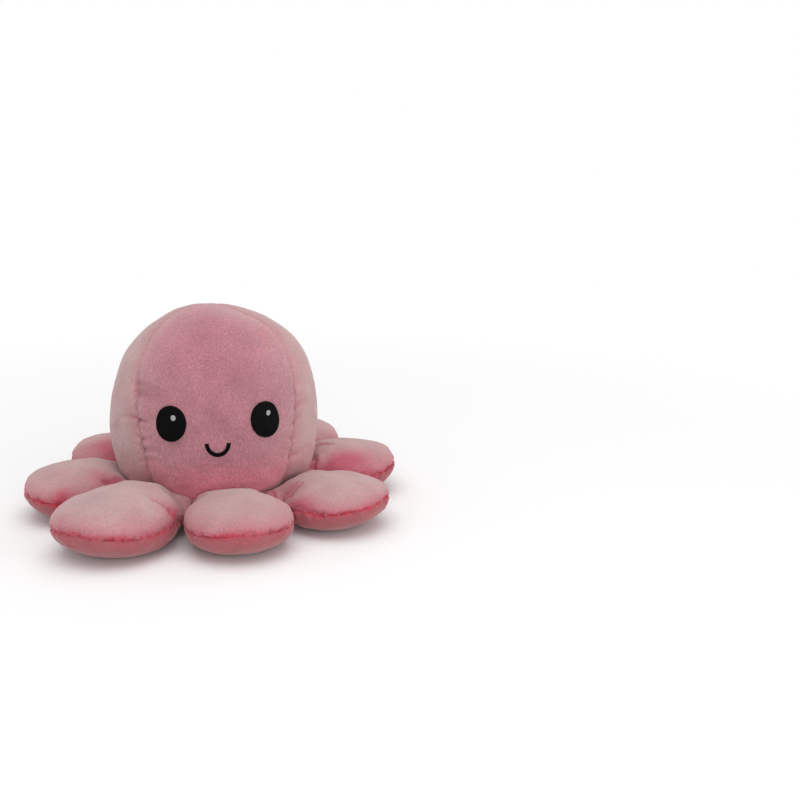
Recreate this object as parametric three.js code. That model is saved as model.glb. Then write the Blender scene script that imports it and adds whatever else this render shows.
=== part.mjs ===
// Reversible plush octopus, modelled right side out: a stuffed head, eight stuffed tentacles and, inside,
// the second head that shows once the toy is turned inside out.
// Millimetres, +Z up, the face looks along -Y, the origin is on the table under the middle of the toy.

import * as THREE from "three";

// Cloth and clearances
const skinThickness = 1.5;
const neighbourGap = 0.3;

// Head, from the table up
const headWidth = 112;
const widestLevel = 53.5;
const headRise = 56;
const headDrop = 64;
const waistLevel = 10.5;
const risePower = 2.1;
const dropPower = 2.3;

// Hollow that the stuffing leaves high on the head's -X side
const hollowDepth = 2.4;
const hollowTurn = THREE.MathUtils.degToRad(-101);
const hollowRise = THREE.MathUtils.degToRad(20.5);
const hollowSpread = THREE.MathUtils.degToRad(31.5);

// Seams of the head: four panels that meet at a crown, which leans back. The face's two seams spread
// low on the head, between two angles from the crown.
const crownLean = THREE.MathUtils.degToRad(16);
const facePanelHalfAngle = THREE.MathUtils.degToRad(51);
const seamSpread = THREE.MathUtils.degToRad(4.5);
const spreadStart = THREE.MathUtils.degToRad(100);
const spreadEnd = THREE.MathUtils.degToRad(143);
const seamGrooveDepth = 1.2;
const seamGrooveWidth = 4.5;
const panelColumns = 10;
const panelRows = 12;
const polarHole = 0.4;

// Pocket in the underside, where the second head lies folded in
const mouthRadius = 27;
const pocketHeight = 72;
const pocketRadius = 24;
const pocketPower = 2.6;
const pocketRows = 8;

// Waist, the ring that the tentacles are stitched to: eight straight folds, one to a tentacle.
// The folds lie a little farther out than the head's lower edge.
const foldOverhang = 2.1;
const foldLevel = 7.4;
const foldHeight = 1.6;
const waistEdgeDrop = 1.3;
const footRingInset = 6;
const facetsPerFold = 6;

// Tentacles, counted from the front round to the toy's +X side, each with its own length as sewn,
// its own rise over the edge seam as stuffed and its own lift of the tip
const tentacleTurn = THREE.MathUtils.degToRad(5);
const tentacleLengths = [55.5, 57.5, 53.5, 55, 54, 48, 55.2, 68.5];
const tentacleRises = [13.8, 11.2, 13, 12.5, 13.7, 12.1, 13.3, 17.4];
const tipLifts = [3, 3, 3, 3, 3, 3, 1.5, 4.5];
const tentacleSpacing = 8;
const rootSpacing = 3;
const rootThinning = 0.8;
const rootDropPower = 1.5;
const tipPower = 2.15;
const seamLevel = 14;
const tableFlat = 0.5;
const arcSteps = 4;
const rootSteps = 2;
const tentacleRows = 5;

// Embroidery: sizes across the cloth, and places as heights over the table and distances to the side
const embroideryThickness = 0.8;
const eyeWidth = 14.6;
const eyeHeight = 17.8;
const eyeSpread = 23.4;
const eyesSide = -0.5;
const eyeLevel = 58.4;
const eyeSteps = 20;
const glintSize = 2.8;
const glintRise = 3.5;
const glintSide = 0.9;
const smileWidth = 10.5;
const smileDrop = 5.8;
const smileLevel = 48.7;
const smileSide = -1.4;
const smileThread = 1.6;
const smileSteps = 10;

// Embroidery of the second face, inside the pocket, gathered to the pocket's width
const innerClearance = 0.8;
const innerEyeWidth = 11;
const innerEyeHeight = 12;
const innerEyeSpread = 12.5;
const innerEyeLevel = 40;
const lidHeight = 1.6;
const lidSlope = 0.45;
const innerGlintSize = 1.8;
const innerGlintSide = 1.6;
const frownWidth = 8;
const frownRise = 4;
const frownLevel = 26;

const headRadius = headWidth / 2;
const mouthRim = skinThickness + neighbourGap;

const paleCloth = new THREE.MeshStandardMaterial({ color: 0xdba9ad, roughness: 0.9, metalness: 0 });
const faceCloth = new THREE.MeshStandardMaterial({ color: 0xd191a2, roughness: 0.9, metalness: 0 });
const deepCloth = new THREE.MeshStandardMaterial({ color: 0xd0697a, roughness: 0.9, metalness: 0 });
const fibre = new THREE.MeshStandardMaterial({ color: 0xf1efe9, roughness: 1, metalness: 0 });
const blackThread = new THREE.MeshStandardMaterial({ color: 0x141212, roughness: 0.6, metalness: 0 });
const whiteThread = new THREE.MeshStandardMaterial({ color: 0xf2f2f2, roughness: 0.6, metalness: 0 });

const octopus = new THREE.Group();

function addPiece(name, geometry, material, parent = octopus) {
  const mesh = new THREE.Mesh(geometry, material);
  mesh.name = name;
  parent.add(mesh);
  return mesh;
}

function range(count, valueAt) {
  return Array.from({ length: count }, (_, i) => valueAt(i));
}

// Unit vector in plan, for an angle from the front towards the toy's +X side.
function outward(angle) {
  return new THREE.Vector3(Math.sin(angle), -Math.cos(angle), 0);
}

function geometryFrom(points, triangles) {
  const geometry = new THREE.BufferGeometry().setFromPoints(points);
  geometry.setIndex(triangles.flat());
  geometry.computeVertexNormals();
  return geometry;
}

// Two triangles for a four-sided patch, split along its shorter diagonal, so that neighbouring skins
// split alike.
function patchTriangles(points, a, b, c, d) {
  const straight = points[a].distanceTo(points[c]) <= points[b].distanceTo(points[d]);
  return straight ? [[a, b, c], [a, c, d]] : [[b, c, d], [b, d, a]];
}

// Closed body through rings of points, from a pole on top to a pole at the other end.
// Each ring runs anticlockwise as the first pole sees it.
function loftedBody(firstPole, rings, lastPole) {
  const size = rings[0].length;
  const points = [firstPole, ...rings.flat(), lastPole];
  const at = (ring, column) => 1 + ring * size + (column % size);
  const last = points.length - 1;
  const triangles = [];
  for (let column = 0; column < size; column++) {
    const next = column + 1;
    triangles.push([0, at(0, column), at(0, next)]);
    triangles.push([at(rings.length - 1, next), at(rings.length - 1, column), last]);
    for (let ring = 0; ring + 1 < rings.length; ring++) {
      const corners = [at(ring, column), at(ring + 1, column), at(ring + 1, next), at(ring, next)];
      triangles.push(...patchTriangles(points, ...corners));
    }
  }
  return geometryFrom(points, triangles);
}

// Closed sheet between two grids of points. Rows run down and columns anticlockwise, as the near side
// sees them.
function sheetBody(near, far) {
  const rows = near.length;
  const columns = near[0].length;
  const points = [...near.flat(), ...far.flat()];
  const nearAt = (row, column) => row * columns + column;
  const farAt = (row, column) => rows * columns + nearAt(row, column);
  const triangles = [];
  const quad = (...corners) => triangles.push(...patchTriangles(points, ...corners));
  const lastRow = rows - 1;
  const lastColumn = columns - 1;
  for (let row = 0; row < lastRow; row++) {
    const below = row + 1;
    for (let column = 0; column < lastColumn; column++) {
      const next = column + 1;
      quad(nearAt(row, column), nearAt(below, column), nearAt(below, next), nearAt(row, next));
      quad(farAt(row, next), farAt(below, next), farAt(below, column), farAt(row, column));
    }
    quad(farAt(row, 0), farAt(below, 0), nearAt(below, 0), nearAt(row, 0));
    const nearEnds = [nearAt(row, lastColumn), nearAt(below, lastColumn)];
    quad(...nearEnds, farAt(below, lastColumn), farAt(row, lastColumn));
  }
  for (let column = 0; column < lastColumn; column++) {
    const next = column + 1;
    quad(nearAt(0, next), farAt(0, next), farAt(0, column), nearAt(0, column));
    quad(nearAt(lastRow, column), farAt(lastRow, column), farAt(lastRow, next), nearAt(lastRow, next));
  }
  return geometryFrom(points, triangles);
}

// Closed ring through sections of points, each of which runs anticlockwise as the section before it sees it.
function ringBody(sections) {
  const size = sections[0].length;
  const points = sections.flat();
  const at = (section, i) => (section % sections.length) * size + (i % size);
  const triangles = [];
  for (let section = 0; section < sections.length; section++) {
    for (let i = 0; i < size; i++) {
      const corners = [at(section, i), at(section + 1, i), at(section + 1, i + 1), at(section, i + 1)];
      triangles.push(...patchTriangles(points, ...corners));
    }
  }
  return geometryFrom(points, triangles);
}

// Head's outer surface

const headMiddle = new THREE.Vector3(0, 0, widestLevel);
const crownAxis = new THREE.Vector3(0, Math.sin(crownLean), Math.cos(crownLean));
const frontAxis = new THREE.Vector3(0, -Math.cos(crownLean), Math.sin(crownLean));
const sideAxis = new THREE.Vector3(1, 0, 0);

// The four seams, as angles round the crown from the middle of the face.
const seamAngles = [
  -facePanelHalfAngle,
  facePanelHalfAngle,
  Math.PI - facePanelHalfAngle,
  Math.PI + facePanelHalfAngle,
];

// Angle round the crown at which a line of the panels' plain pattern runs, once the face's seams have
// spread. The middle of the face and the back panel stay where they are.
function spreadRound(round, fromCrown) {
  const angle = Math.atan2(Math.sin(round), Math.cos(round));
  const size = Math.abs(angle);
  const backSeam = Math.PI - facePanelHalfAngle;
  const inFace = size / facePanelHalfAngle;
  const inSide = Math.max(0, backSeam - size) / (backSeam - facePanelHalfAngle);
  const spread = seamSpread * THREE.MathUtils.smoothstep(fromCrown, spreadStart, spreadEnd);
  return round + Math.sign(angle) * spread * Math.min(inFace, inSide);
}

function grooveAt(direction) {
  const round = Math.atan2(direction.dot(sideAxis), direction.dot(frontAxis));
  const fromCrown = direction.angleTo(crownAxis);
  const fromAxis = headRadius * Math.sin(fromCrown);
  const nearest = Math.min(...seamAngles.map((seam) => {
    return Math.abs(Math.sin((round - spreadRound(seam, fromCrown)) / 2)) * 2;
  }));
  return seamGrooveDepth * Math.exp(-(((nearest * fromAxis) / seamGrooveWidth) ** 2));
}

const hollowAxis = outward(hollowTurn).multiplyScalar(Math.cos(hollowRise)).setZ(Math.sin(hollowRise));

function hollowAt(direction) {
  return hollowDepth * Math.exp(-((direction.angleTo(hollowAxis) / hollowSpread) ** 2));
}

// Point of the head's surface that lies along a unit vector from its middle, moved in by an inset.
function headPoint(direction, inset) {
  const across = headRadius - inset;
  const upright = (direction.z > 0 ? headRise : headDrop) - inset;
  const power = direction.z > 0 ? risePower : dropPower;
  const plan = Math.hypot(direction.x, direction.y);
  const reach = ((plan / across) ** power + (Math.abs(direction.z) / upright) ** power) ** (-1 / power);
  const inward = grooveAt(direction) + hollowAt(direction);
  return headMiddle.clone().addScaledVector(direction, reach - inward);
}

function crownDirection(fromCrown, round) {
  return crownAxis
    .clone()
    .multiplyScalar(Math.cos(fromCrown))
    .addScaledVector(sideAxis, Math.sin(fromCrown) * Math.sin(round))
    .addScaledVector(frontAxis, Math.sin(fromCrown) * Math.cos(round));
}

// Angle from the crown at which the surface comes down to the waist.
function waistAngle(round) {
  let low = Math.PI / 3;
  let high = Math.PI * 0.95;
  while (high - low > 1e-7) {
    const middle = (low + high) / 2;
    if (headPoint(crownDirection(middle, round), 0).z > waistLevel) low = middle;
    else high = middle;
  }
  return low;
}

// Angles of a panel's columns, which lie closer together at its seams.
function panelAngles(index) {
  const from = seamAngles[index];
  const to = index === 3 ? seamAngles[0] + 2 * Math.PI : seamAngles[index + 1];
  return range(panelColumns + 1, (i) => {
    const share = (1 - Math.cos((Math.PI * i) / panelColumns)) / 2;
    return from + (to - from) * share;
  });
}

// Column of the head's surface from the crown to the waist. The side gap moves it off its seam.
function headColumn(round, inset, sideGap) {
  const end = waistAngle(spreadRound(round, spreadEnd));
  const start = polarHole / headRadius;
  return range(panelRows + 1, (row) => {
    const fromCrown = start + ((end - start) * row) / panelRows;
    const turned = spreadRound(round, fromCrown);
    const point = headPoint(crownDirection(fromCrown, turned), inset);
    const sideways = crownDirection(Math.PI / 2, turned + Math.PI / 2);
    return point.addScaledVector(sideways, sideGap * Math.min(1, row + polarHole));
  });
}

function columnsToRows(columns) {
  return range(columns[0].length, (row) => columns.map((column) => column[row]));
}

// Panel grid between two seams, drawn in by half the gap at both.
function panelGrid(index, columnAt, inset) {
  const angles = panelAngles(index);
  const columns = angles.map((round, i) => {
    const side = i === 0 ? 1 : i === panelColumns ? -1 : 0;
    return columnAt(round, inset, (side * neighbourGap) / 2);
  });
  return columnsToRows(columns);
}

// Pocket's surface

// Radius and height of the pocket's wall, from its mouth (share 0) to its top (share 1).
function pocketProfile(share, inset) {
  const turn = (Math.PI / 2) * (1 - share);
  const power = 2 / pocketPower;
  const flare = (mouthRadius - pocketRadius) * (1 - share) ** 6;
  const radius = pocketRadius * Math.sin(turn) ** power + flare + inset;
  const height = mouthRim + (pocketHeight - mouthRim) * Math.cos(turn) ** power + inset * share;
  return [Math.max(radius, polarHole), height];
}

// Column of the pocket's wall from its top to its mouth.
function pocketColumn(round, inset, sideGap) {
  const sideways = outward(round + Math.PI / 2);
  return range(pocketRows + 1, (row) => {
    const [radius, height] = pocketProfile(1 - row / pocketRows, inset);
    const point = outward(round).multiplyScalar(radius).setZ(height);
    return point.addScaledVector(sideways, sideGap * Math.min(1, row + polarHole));
  });
}

const waistRadius = Math.min(...seamAngles.map((seam) => {
  const round = spreadRound(seam, spreadEnd);
  const point = headPoint(crownDirection(waistAngle(round), round), 0);
  return Math.hypot(point.x, point.y);
}));
const foldDistance = waistRadius + foldOverhang;

// Head: panels, filling and the second head inside

const panelNames = ["front", "right", "back", "left"];

function addHeadPanels() {
  panelNames.forEach((name, index) => {
    const outer = panelGrid(index, headColumn, 0);
    const inner = panelGrid(index, headColumn, skinThickness);
    const cloth = name === "front" ? faceCloth : paleCloth;
    addPiece(`head_${name}_panel`, sheetBody(outer, inner), cloth);
  });
}

function addPocketPanels() {
  panelNames.forEach((name, index) => {
    const outer = panelGrid(index, pocketColumn, skinThickness);
    const inner = panelGrid(index, pocketColumn, 0);
    addPiece(`pocket_${name}_panel`, sheetBody(outer, inner), deepCloth);
  });
}

function addHeadFilling() {
  const angles = panelNames.flatMap((_, index) => panelAngles(index).slice(0, panelColumns));
  const inset = skinThickness + neighbourGap;
  const outside = columnsToRows(angles.map((round) => headColumn(round, inset, 0)));
  const inside = columnsToRows(angles.map((round) => pocketColumn(round, inset, 0))).reverse();
  const footRadius = waistRadius - footRingInset;
  const foot = angles.map((round) => outward(round).multiplyScalar(footRadius).setZ(mouthRim));
  const top = headPoint(crownAxis, inset);
  const pocketTop = new THREE.Vector3(0, 0, pocketHeight + inset);
  addPiece("head_filling", loftedBody(top, [...outside, foot, ...inside], pocketTop), fibre);
}

// Waist: the inner edge of the tentacles' cloth, pale above and deep below

// How much farther out than its middle a straight fold lies, for an angle from the front.
function foldStretch(angle) {
  const step = (2 * Math.PI) / tentacleLengths.length;
  const fromMiddle = angle - tentacleTurn - step * Math.round((angle - tentacleTurn) / step);
  return 1 / Math.cos(fromMiddle);
}

// Ring round the waist. Its profile gives [distance, height, stretch], where a stretch of 1 follows the
// folds.
function waistRing(profile) {
  const facets = facetsPerFold * tentacleLengths.length;
  return ringBody(range(facets, (i) => {
    const angle = tentacleTurn + (2 * Math.PI * (i + 0.5)) / facets;
    return profile.map(([distance, height, stretch]) => {
      const reach = distance * (1 + (foldStretch(angle) - 1) * stretch);
      return outward(angle).multiplyScalar(reach).setZ(height);
    });
  }));
}

function addWaist() {
  const top = waistLevel - neighbourGap;
  const middle = foldLevel + neighbourGap / 2;
  addPiece("waist_top_cloth", waistRing([
    [foldDistance - skinThickness - neighbourGap, middle, 1],
    [foldDistance, middle, 1],
    [foldDistance, middle + foldHeight / 2, 1],
    [waistRadius + skinThickness / 2, top, 0],
    [waistRadius - skinThickness / 2, top, 0],
    [waistRadius - skinThickness / 2, top - waistEdgeDrop, 0],
  ]), paleCloth);
  const under = foldLevel - neighbourGap / 2;
  const footRadius = waistRadius - footRingInset;
  addPiece("waist_bottom_cloth", waistRing([
    [mouthRadius, 0, 0],
    [footRadius, 0, 0],
    [foldDistance, under - foldHeight / 2, 1],
    [foldDistance, under, 1],
    [foldDistance - skinThickness, under, 1],
    [footRadius, skinThickness, 0],
    [mouthRadius, skinThickness, 0],
  ]), deepCloth);
}

// Tentacles, each in a frame of its own: +X out from its fold, +Z up, the middle of the fold over the origin

const tentacleRootDistance = foldDistance + neighbourGap;
const wedgeSlope = Math.tan(Math.PI / tentacleLengths.length);

// Half the width that the neighbours leave at a distance out from the fold.
function halfWidthAt(out, spacing) {
  return (tentacleRootDistance + out) * wedgeSlope - spacing / 2;
}

// Outline of the edge seam from the tip round to the tip again: a full half ellipse, two sides and the
// straight fold. Each point also carries its share of the way in to the fold, and out to the tip.
function edgeOutline(length) {
  const middle = length / 2;
  const widest = halfWidthAt(middle, tentacleSpacing);
  const rootWidth = halfWidthAt(0, rootSpacing);
  const arc = range(arcSteps + 1, (i) => {
    const turn = (Math.PI / 2) * (i / arcSteps);
    const out = middle + middle * Math.cos(turn) ** (2 / tipPower);
    return [out, widest * Math.sin(turn) ** (2 / tipPower), 0, Math.cos(turn) ** 2];
  });
  const side = [middle / 2, rootWidth + (widest - rootWidth) * Math.sin(Math.PI / 4), 1 / 2, 0];
  const root = range(rootSteps, (i) => [0, rootWidth * (1 - i / rootSteps), 1, 0]);
  const half = [...arc, side, ...root];
  const mirrored = half.slice(1).reverse().map(([out, across, ...shares]) => [out, -across, ...shares]);
  return [...half, [0, 0, 1, 0], ...mirrored];
}

// Ring of the tentacle's surface. The tilt is 0 over its middle and a quarter turn at the edge seam.
function tentacleRing({ length, rise, tipLift }, tilt, side, inset, edgeGap) {
  const middle = new THREE.Vector3(length / 2, 0, 0);
  return edgeOutline(length).map(([out, across, rootShare, tipShare]) => {
    const edge = new THREE.Vector3(out, across, 0).sub(middle);
    edge.multiplyScalar(1 - inset / edge.length()).add(middle);
    const drop = (seamLevel - foldLevel) * rootShare * Math.sin(tilt) ** rootDropPower;
    const level = seamLevel - drop + tipLift * tipShare * Math.sin(tilt) ** 2;
    const depth = (side > 0 ? rise : seamLevel + tableFlat) - inset;
    const bulge = depth * Math.cos(tilt) ** (1 + rootThinning * rootShare);
    const height = level + side * (bulge + edgeGap * Math.sin(tilt));
    return middle.clone().lerp(edge, Math.sin(tilt)).setZ(Math.max(height, inset));
  });
}

// Tilts of a surface's rings from its middle to the edge seam.
// The first one bounds the flat that rests on the table.
const firstTilt = Math.acos(seamLevel / (seamLevel + tableFlat));
const ringTilts = range(tentacleRows, (row) => {
  return firstTilt + ((Math.PI / 2 - firstTilt) * row) / (tentacleRows - 1);
});

function tentaclePole({ length, rise }, side, inset) {
  const height = side > 0 ? seamLevel + rise - inset : inset;
  return new THREE.Vector3(length / 2, 0, height);
}

function tentacleRings(size, side, inset, edgeGap) {
  return ringTilts.map((tilt) => tentacleRing(size, tilt, side, inset, edgeGap));
}

function tentacleTop(size) {
  const edgeGap = neighbourGap / 2;
  const outer = tentacleRings(size, 1, 0, edgeGap);
  const inner = tentacleRings(size, 1, skinThickness, edgeGap).reverse();
  return loftedBody(tentaclePole(size, 1, 0), [...outer, ...inner], tentaclePole(size, 1, skinThickness));
}

function tentacleBottom(size) {
  const edgeGap = neighbourGap / 2;
  const inner = tentacleRings(size, -1, skinThickness, edgeGap);
  const outer = tentacleRings(size, -1, 0, edgeGap).reverse();
  return loftedBody(tentaclePole(size, -1, skinThickness), [...inner, ...outer], tentaclePole(size, -1, 0));
}

function tentacleFilling(size) {
  const inset = skinThickness + neighbourGap;
  const above = tentacleRings(size, 1, inset, 0);
  const below = tentacleRings(size, -1, inset, 0).reverse().slice(1);
  return loftedBody(tentaclePole(size, 1, inset), [...above, ...below], tentaclePole(size, -1, inset));
}

function addTentacles() {
  tentacleLengths.forEach((length, i) => {
    const angle = tentacleTurn + (2 * Math.PI * i) / tentacleLengths.length;
    const frame = new THREE.Group();
    frame.position.copy(outward(angle).multiplyScalar(tentacleRootDistance));
    frame.rotation.z = angle - Math.PI / 2;
    octopus.add(frame);
    const size = { length, rise: tentacleRises[i], tipLift: tipLifts[i] };
    addPiece(`tentacle_${i + 1}_top`, tentacleTop(size), paleCloth, frame);
    addPiece(`tentacle_${i + 1}_bottom`, tentacleBottom(size), deepCloth, frame);
    addPiece(`tentacle_${i + 1}_filling`, tentacleFilling(size), fibre, frame);
  });
}

// Embroidery

// Place on the head's front, for a distance to the side and a height over the table, raised off the cloth.
function facePoint(side, level, raise) {
  const reach = Math.sqrt(Math.max(headRadius ** 2 - side ** 2 - (level - widestLevel) ** 2, 0));
  const direction = new THREE.Vector3(side, -reach, level - widestLevel).normalize();
  return headPoint(direction, -raise);
}

// Place on the pocket's front wall, for an angle round from the front and a height, raised off the cloth.
function innerFacePoint(side, level, raise) {
  let share = 0;
  while (pocketProfile(share, 0)[1] < level) share += 1 / 512;
  const radius = pocketProfile(share, 0)[0];
  return outward(side / radius).multiplyScalar(radius - raise).setZ(level);
}

// Closed patch of stitches round a middle. The outline gives [side, level] offsets in order round the patch.
function stitchedPatch(placeAt, middle, outline, base, thickness) {
  const shares = [0.5, 1];
  const ringAt = (share, raise) =>
    outline.map(([side, level]) => placeAt(middle[0] + side * share, middle[1] + level * share, raise));
  const raised = base + thickness;
  const front = shares.map((share) => ringAt(share, raised));
  const back = shares.map((share) => ringAt(share, base)).reverse();
  return loftedBody(placeAt(...middle, raised), [...front, ...back], placeAt(...middle, base));
}

function ovalOutline(width, height, steps) {
  return range(steps, (i) => {
    const angle = (2 * Math.PI * i) / steps;
    return [(width / 2) * Math.cos(angle), (height / 2) * Math.sin(angle)];
  });
}

// Closed band of stitches along an arch: it drops by the given amount between its two ends, or rises if
// negative.
function stitchedArch(placeAt, width, drop, level, thread, base) {
  const line = (row, offset) => {
    const turn = Math.PI * (row / smileSteps);
    const side = (width / 2 + offset * Math.sign(drop)) * Math.cos(turn);
    return [side, level - (drop + offset) * Math.sin(turn)];
  };
  const grid = (raise) =>
    range(smileSteps + 1, (row) =>
      [-thread / 2, thread / 2].map((offset) => placeAt(...line(row, offset), raise)),
    );
  return [grid(base + embroideryThickness), grid(base)];
}

function addFace() {
  const eye = ovalOutline(eyeWidth, eyeHeight, eyeSteps);
  const glint = ovalOutline(glintSize, glintSize, eyeSteps / 2);
  const glintBase = 2 * neighbourGap + embroideryThickness;
  [["left", -1], ["right", 1]].forEach(([name, side]) => {
    const middle = [eyesSide + side * eyeSpread, eyeLevel];
    const glintMiddle = [middle[0] + glintSide, eyeLevel + glintRise];
    const patch = stitchedPatch(facePoint, middle, eye, neighbourGap, embroideryThickness);
    addPiece(`${name}_eye`, patch, blackThread);
    const spot = stitchedPatch(facePoint, glintMiddle, glint, glintBase, embroideryThickness / 2);
    addPiece(`${name}_eye_glint`, spot, whiteThread);
  });
  const smilePoint = (side, level, raise) => facePoint(smileSide + side, level, raise);
  const smileSize = [smileWidth, smileDrop, smileLevel, smileThread];
  const [near, far] = stitchedArch(smilePoint, ...smileSize, neighbourGap);
  addPiece("smile", sheetBody(near, far), blackThread);
}

// Cross face on the pocket's front wall: half closed eyes, whose lids slope down to the middle, and a frown.
function addInnerFace() {
  const glint = ovalOutline(innerGlintSize, innerGlintSize, eyeSteps / 2).reverse();
  const glintBase = innerClearance + neighbourGap + embroideryThickness;
  [["left", -1], ["right", 1]].forEach(([name, side]) => {
    const eye = ovalOutline(innerEyeWidth, innerEyeHeight, eyeSteps)
      .map(([across, up]) => [across, Math.min(up, lidHeight + lidSlope * side * across)])
      .reverse();
    const around = side * innerEyeSpread;
    const middle = [around, innerEyeLevel];
    const patch = stitchedPatch(innerFacePoint, middle, eye, innerClearance, embroideryThickness);
    addPiece(`inner_${name}_eye`, patch, blackThread);
    const glintMiddle = [around + side * innerGlintSide, innerEyeLevel];
    const spot = stitchedPatch(innerFacePoint, glintMiddle, glint, glintBase, embroideryThickness / 2);
    addPiece(`inner_${name}_eye_glint`, spot, whiteThread);
  });
  const frownSize = [frownWidth, -frownRise, frownLevel, smileThread];
  const [near, far] = stitchedArch(innerFacePoint, ...frownSize, innerClearance);
  addPiece("frown", sheetBody(far, near), blackThread);
}

addHeadPanels();
addPocketPanels();
addHeadFilling();
addWaist();
addTentacles();
addFace();
addInnerFace();

export default octopus;
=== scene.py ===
"""Plush octopus: padded cloth, embroidery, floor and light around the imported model.
Lengths are written in millimetres and turned into metres when a mesh is made."""

import math
from math import pi

import bpy
import numpy as np
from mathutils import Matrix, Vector
from mathutils.bvhtree import BVHTree


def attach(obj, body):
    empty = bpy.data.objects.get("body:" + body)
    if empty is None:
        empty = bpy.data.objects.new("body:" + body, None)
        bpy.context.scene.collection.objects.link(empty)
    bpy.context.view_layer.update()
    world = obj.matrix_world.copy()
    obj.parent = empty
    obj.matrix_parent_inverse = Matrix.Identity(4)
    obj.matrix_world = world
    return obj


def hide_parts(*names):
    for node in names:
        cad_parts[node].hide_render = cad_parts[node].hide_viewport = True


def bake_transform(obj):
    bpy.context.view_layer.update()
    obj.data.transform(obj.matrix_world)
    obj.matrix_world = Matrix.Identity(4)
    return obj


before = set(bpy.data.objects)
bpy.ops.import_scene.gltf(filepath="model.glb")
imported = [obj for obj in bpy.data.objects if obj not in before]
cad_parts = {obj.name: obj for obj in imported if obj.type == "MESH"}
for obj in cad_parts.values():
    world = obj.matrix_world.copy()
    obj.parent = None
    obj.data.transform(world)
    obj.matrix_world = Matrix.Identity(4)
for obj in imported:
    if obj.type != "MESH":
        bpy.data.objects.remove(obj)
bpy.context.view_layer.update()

MM = 0.001
scene = bpy.context.scene

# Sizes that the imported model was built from
HEAD_RADIUS, WIDEST_LEVEL, HEAD_RISE, HEAD_DROP = 56.0, 53.5, 56.0, 64.0
RISE_POWER, DROP_POWER, WAIST_LEVEL = 2.1, 2.3, 10.5
CROWN_LEAN, FACE_HALF_ANGLE = math.radians(16), math.radians(51)
MOUTH_RADIUS, MOUTH_RIM = 27.0, 1.8
POCKET_HEIGHT, POCKET_RADIUS, POCKET_POWER = 72.0, 24.0, 2.6
FOLD_DISTANCE, FOLD_LEVEL, ROOT_DISTANCE = 45.44, 7.4, 45.74
TENTACLE_TURN = math.radians(5)
TENTACLE_LENGTHS = [55.5, 57.5, 53.5, 55, 54, 48, 55.2, 68.5]
TENTACLE_RISES = [13.8, 11.2, 13, 12.5, 13.7, 12.1, 13.3, 17.4]
TIP_LIFTS = [3, 3, 3, 3, 3, 3, 1.5, 4.5]
SECTOR = 2 * pi / len(TENTACLE_LENGTHS)
TENTACLE_SPACING, SEAM_LEVEL = 8.0, 14.0
EYE_WIDTH, EYE_HEIGHT, EYE_SPREAD, EYE_LEVEL = 16.3, 18.8, 24.2, 58.4
FACE_SIDE, SMILE_SIDE, EYE_LEAN = -0.5, -1.4, 0.085
GLINT_SIZE, GLINT_RISE, GLINT_SIDES = 2.7, 3.5, {"left": 1.9, "right": 1.0}
SMILE_WIDTH, SMILE_DROP, SMILE_LEVEL, MOUTH_THREAD = 11.0, 5.9, 48.9, 2.25
INNER_EYE_WIDTH, INNER_EYE_HEIGHT, INNER_EYE_SPREAD, INNER_EYE_LEVEL = 11.0, 12.0, 12.5, 40.0
LID_HEIGHT, LID_SLOPE, INNER_GLINT_SIZE, INNER_GLINT_SIDE = 1.6, 0.45, 1.8, 1.6
FROWN_WIDTH, FROWN_RISE, FROWN_LEVEL = 8.0, 4.0, 26.0

HEAD_MIDDLE = np.array([0, 0, WIDEST_LEVEL])
CROWN_AXIS = np.array([0, math.sin(CROWN_LEAN), math.cos(CROWN_LEAN)])
FRONT_AXIS = np.array([0, -math.cos(CROWN_LEAN), math.sin(CROWN_LEAN)])
SIDE_AXIS = np.array([1.0, 0, 0])
SEAM_ANGLES = [-FACE_HALF_ANGLE, FACE_HALF_ANGLE, pi - FACE_HALF_ANGLE, pi + FACE_HALF_ANGLE]
PANELS = ["front", "right", "back", "left"]
FACE_CLOTH, PALE_CLOTH, DEEP_CLOTH = "face_plush", "pale_plush", "deep_plush"
BLACK_THREAD, WHITE_THREAD = "black_thread", "white_thread"


def linked(name, data):
    """New object in the scene."""
    obj = bpy.data.objects.new(name, data)
    scene.collection.objects.link(obj)
    return obj


# Camera, in metres and degrees

LENS, SENSOR_WIDTH = 57.96, 36
CAMERA_PLACE, CAMERA_TILT, CAMERA_TURN = (-0.0307, -0.6755, 0.2347), 75.11, -11.11

camera_data = bpy.data.cameras.new("camera")
camera_data.lens = LENS
camera_data.sensor_width = SENSOR_WIDTH
camera = linked("camera", camera_data)
camera.location = CAMERA_PLACE
camera.rotation_euler = (math.radians(CAMERA_TILT), 0, math.radians(CAMERA_TURN))
scene.camera = camera


# Noise and small helpers


def hashed(cells, seed):
    """Scattered values from -1 to 1 for whole cells of space."""
    x, y, z = (cells[..., k].astype(np.int64).astype(np.uint32) for k in range(3))
    h = x * np.uint32(73856093) ^ y * np.uint32(19349663) ^ z * np.uint32(83492791)
    h = h ^ np.uint32((seed * 2654435761) % 2**32)
    h = (h ^ (h >> np.uint32(13))) * np.uint32(1274126177)
    h = h ^ (h >> np.uint32(16))
    return h.astype(float) / 2**31 - 1


def grain(points, size, seed):
    """Smooth noise from -1 to 1 over points, with features of that size."""
    p = np.asarray(points, float) / size
    base = np.floor(p)
    f = p - base
    f = f * f * f * (f * (f * 6 - 15) + 10)
    total = 0
    for corner in range(8):
        step = np.array([corner & 1, corner >> 1 & 1, corner >> 2 & 1])
        share = np.prod(np.where(step, f, 1 - f), axis=-1)
        total = total + share * hashed(base + step, seed)
    return total


def layered(points, *layers):
    """Sum of layers of noise, each with its strength, size and seed."""
    return sum(strength * grain(points, size, seed) for strength, size, seed in layers)


def smooth_step(x):
    x = np.clip(x, 0, 1)
    return x * x * (3 - 2 * x)


def bell(x, y=0):
    """1 in the middle, and falling off to 0 around it."""
    return np.exp(-(x**2) - y**2)


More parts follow.
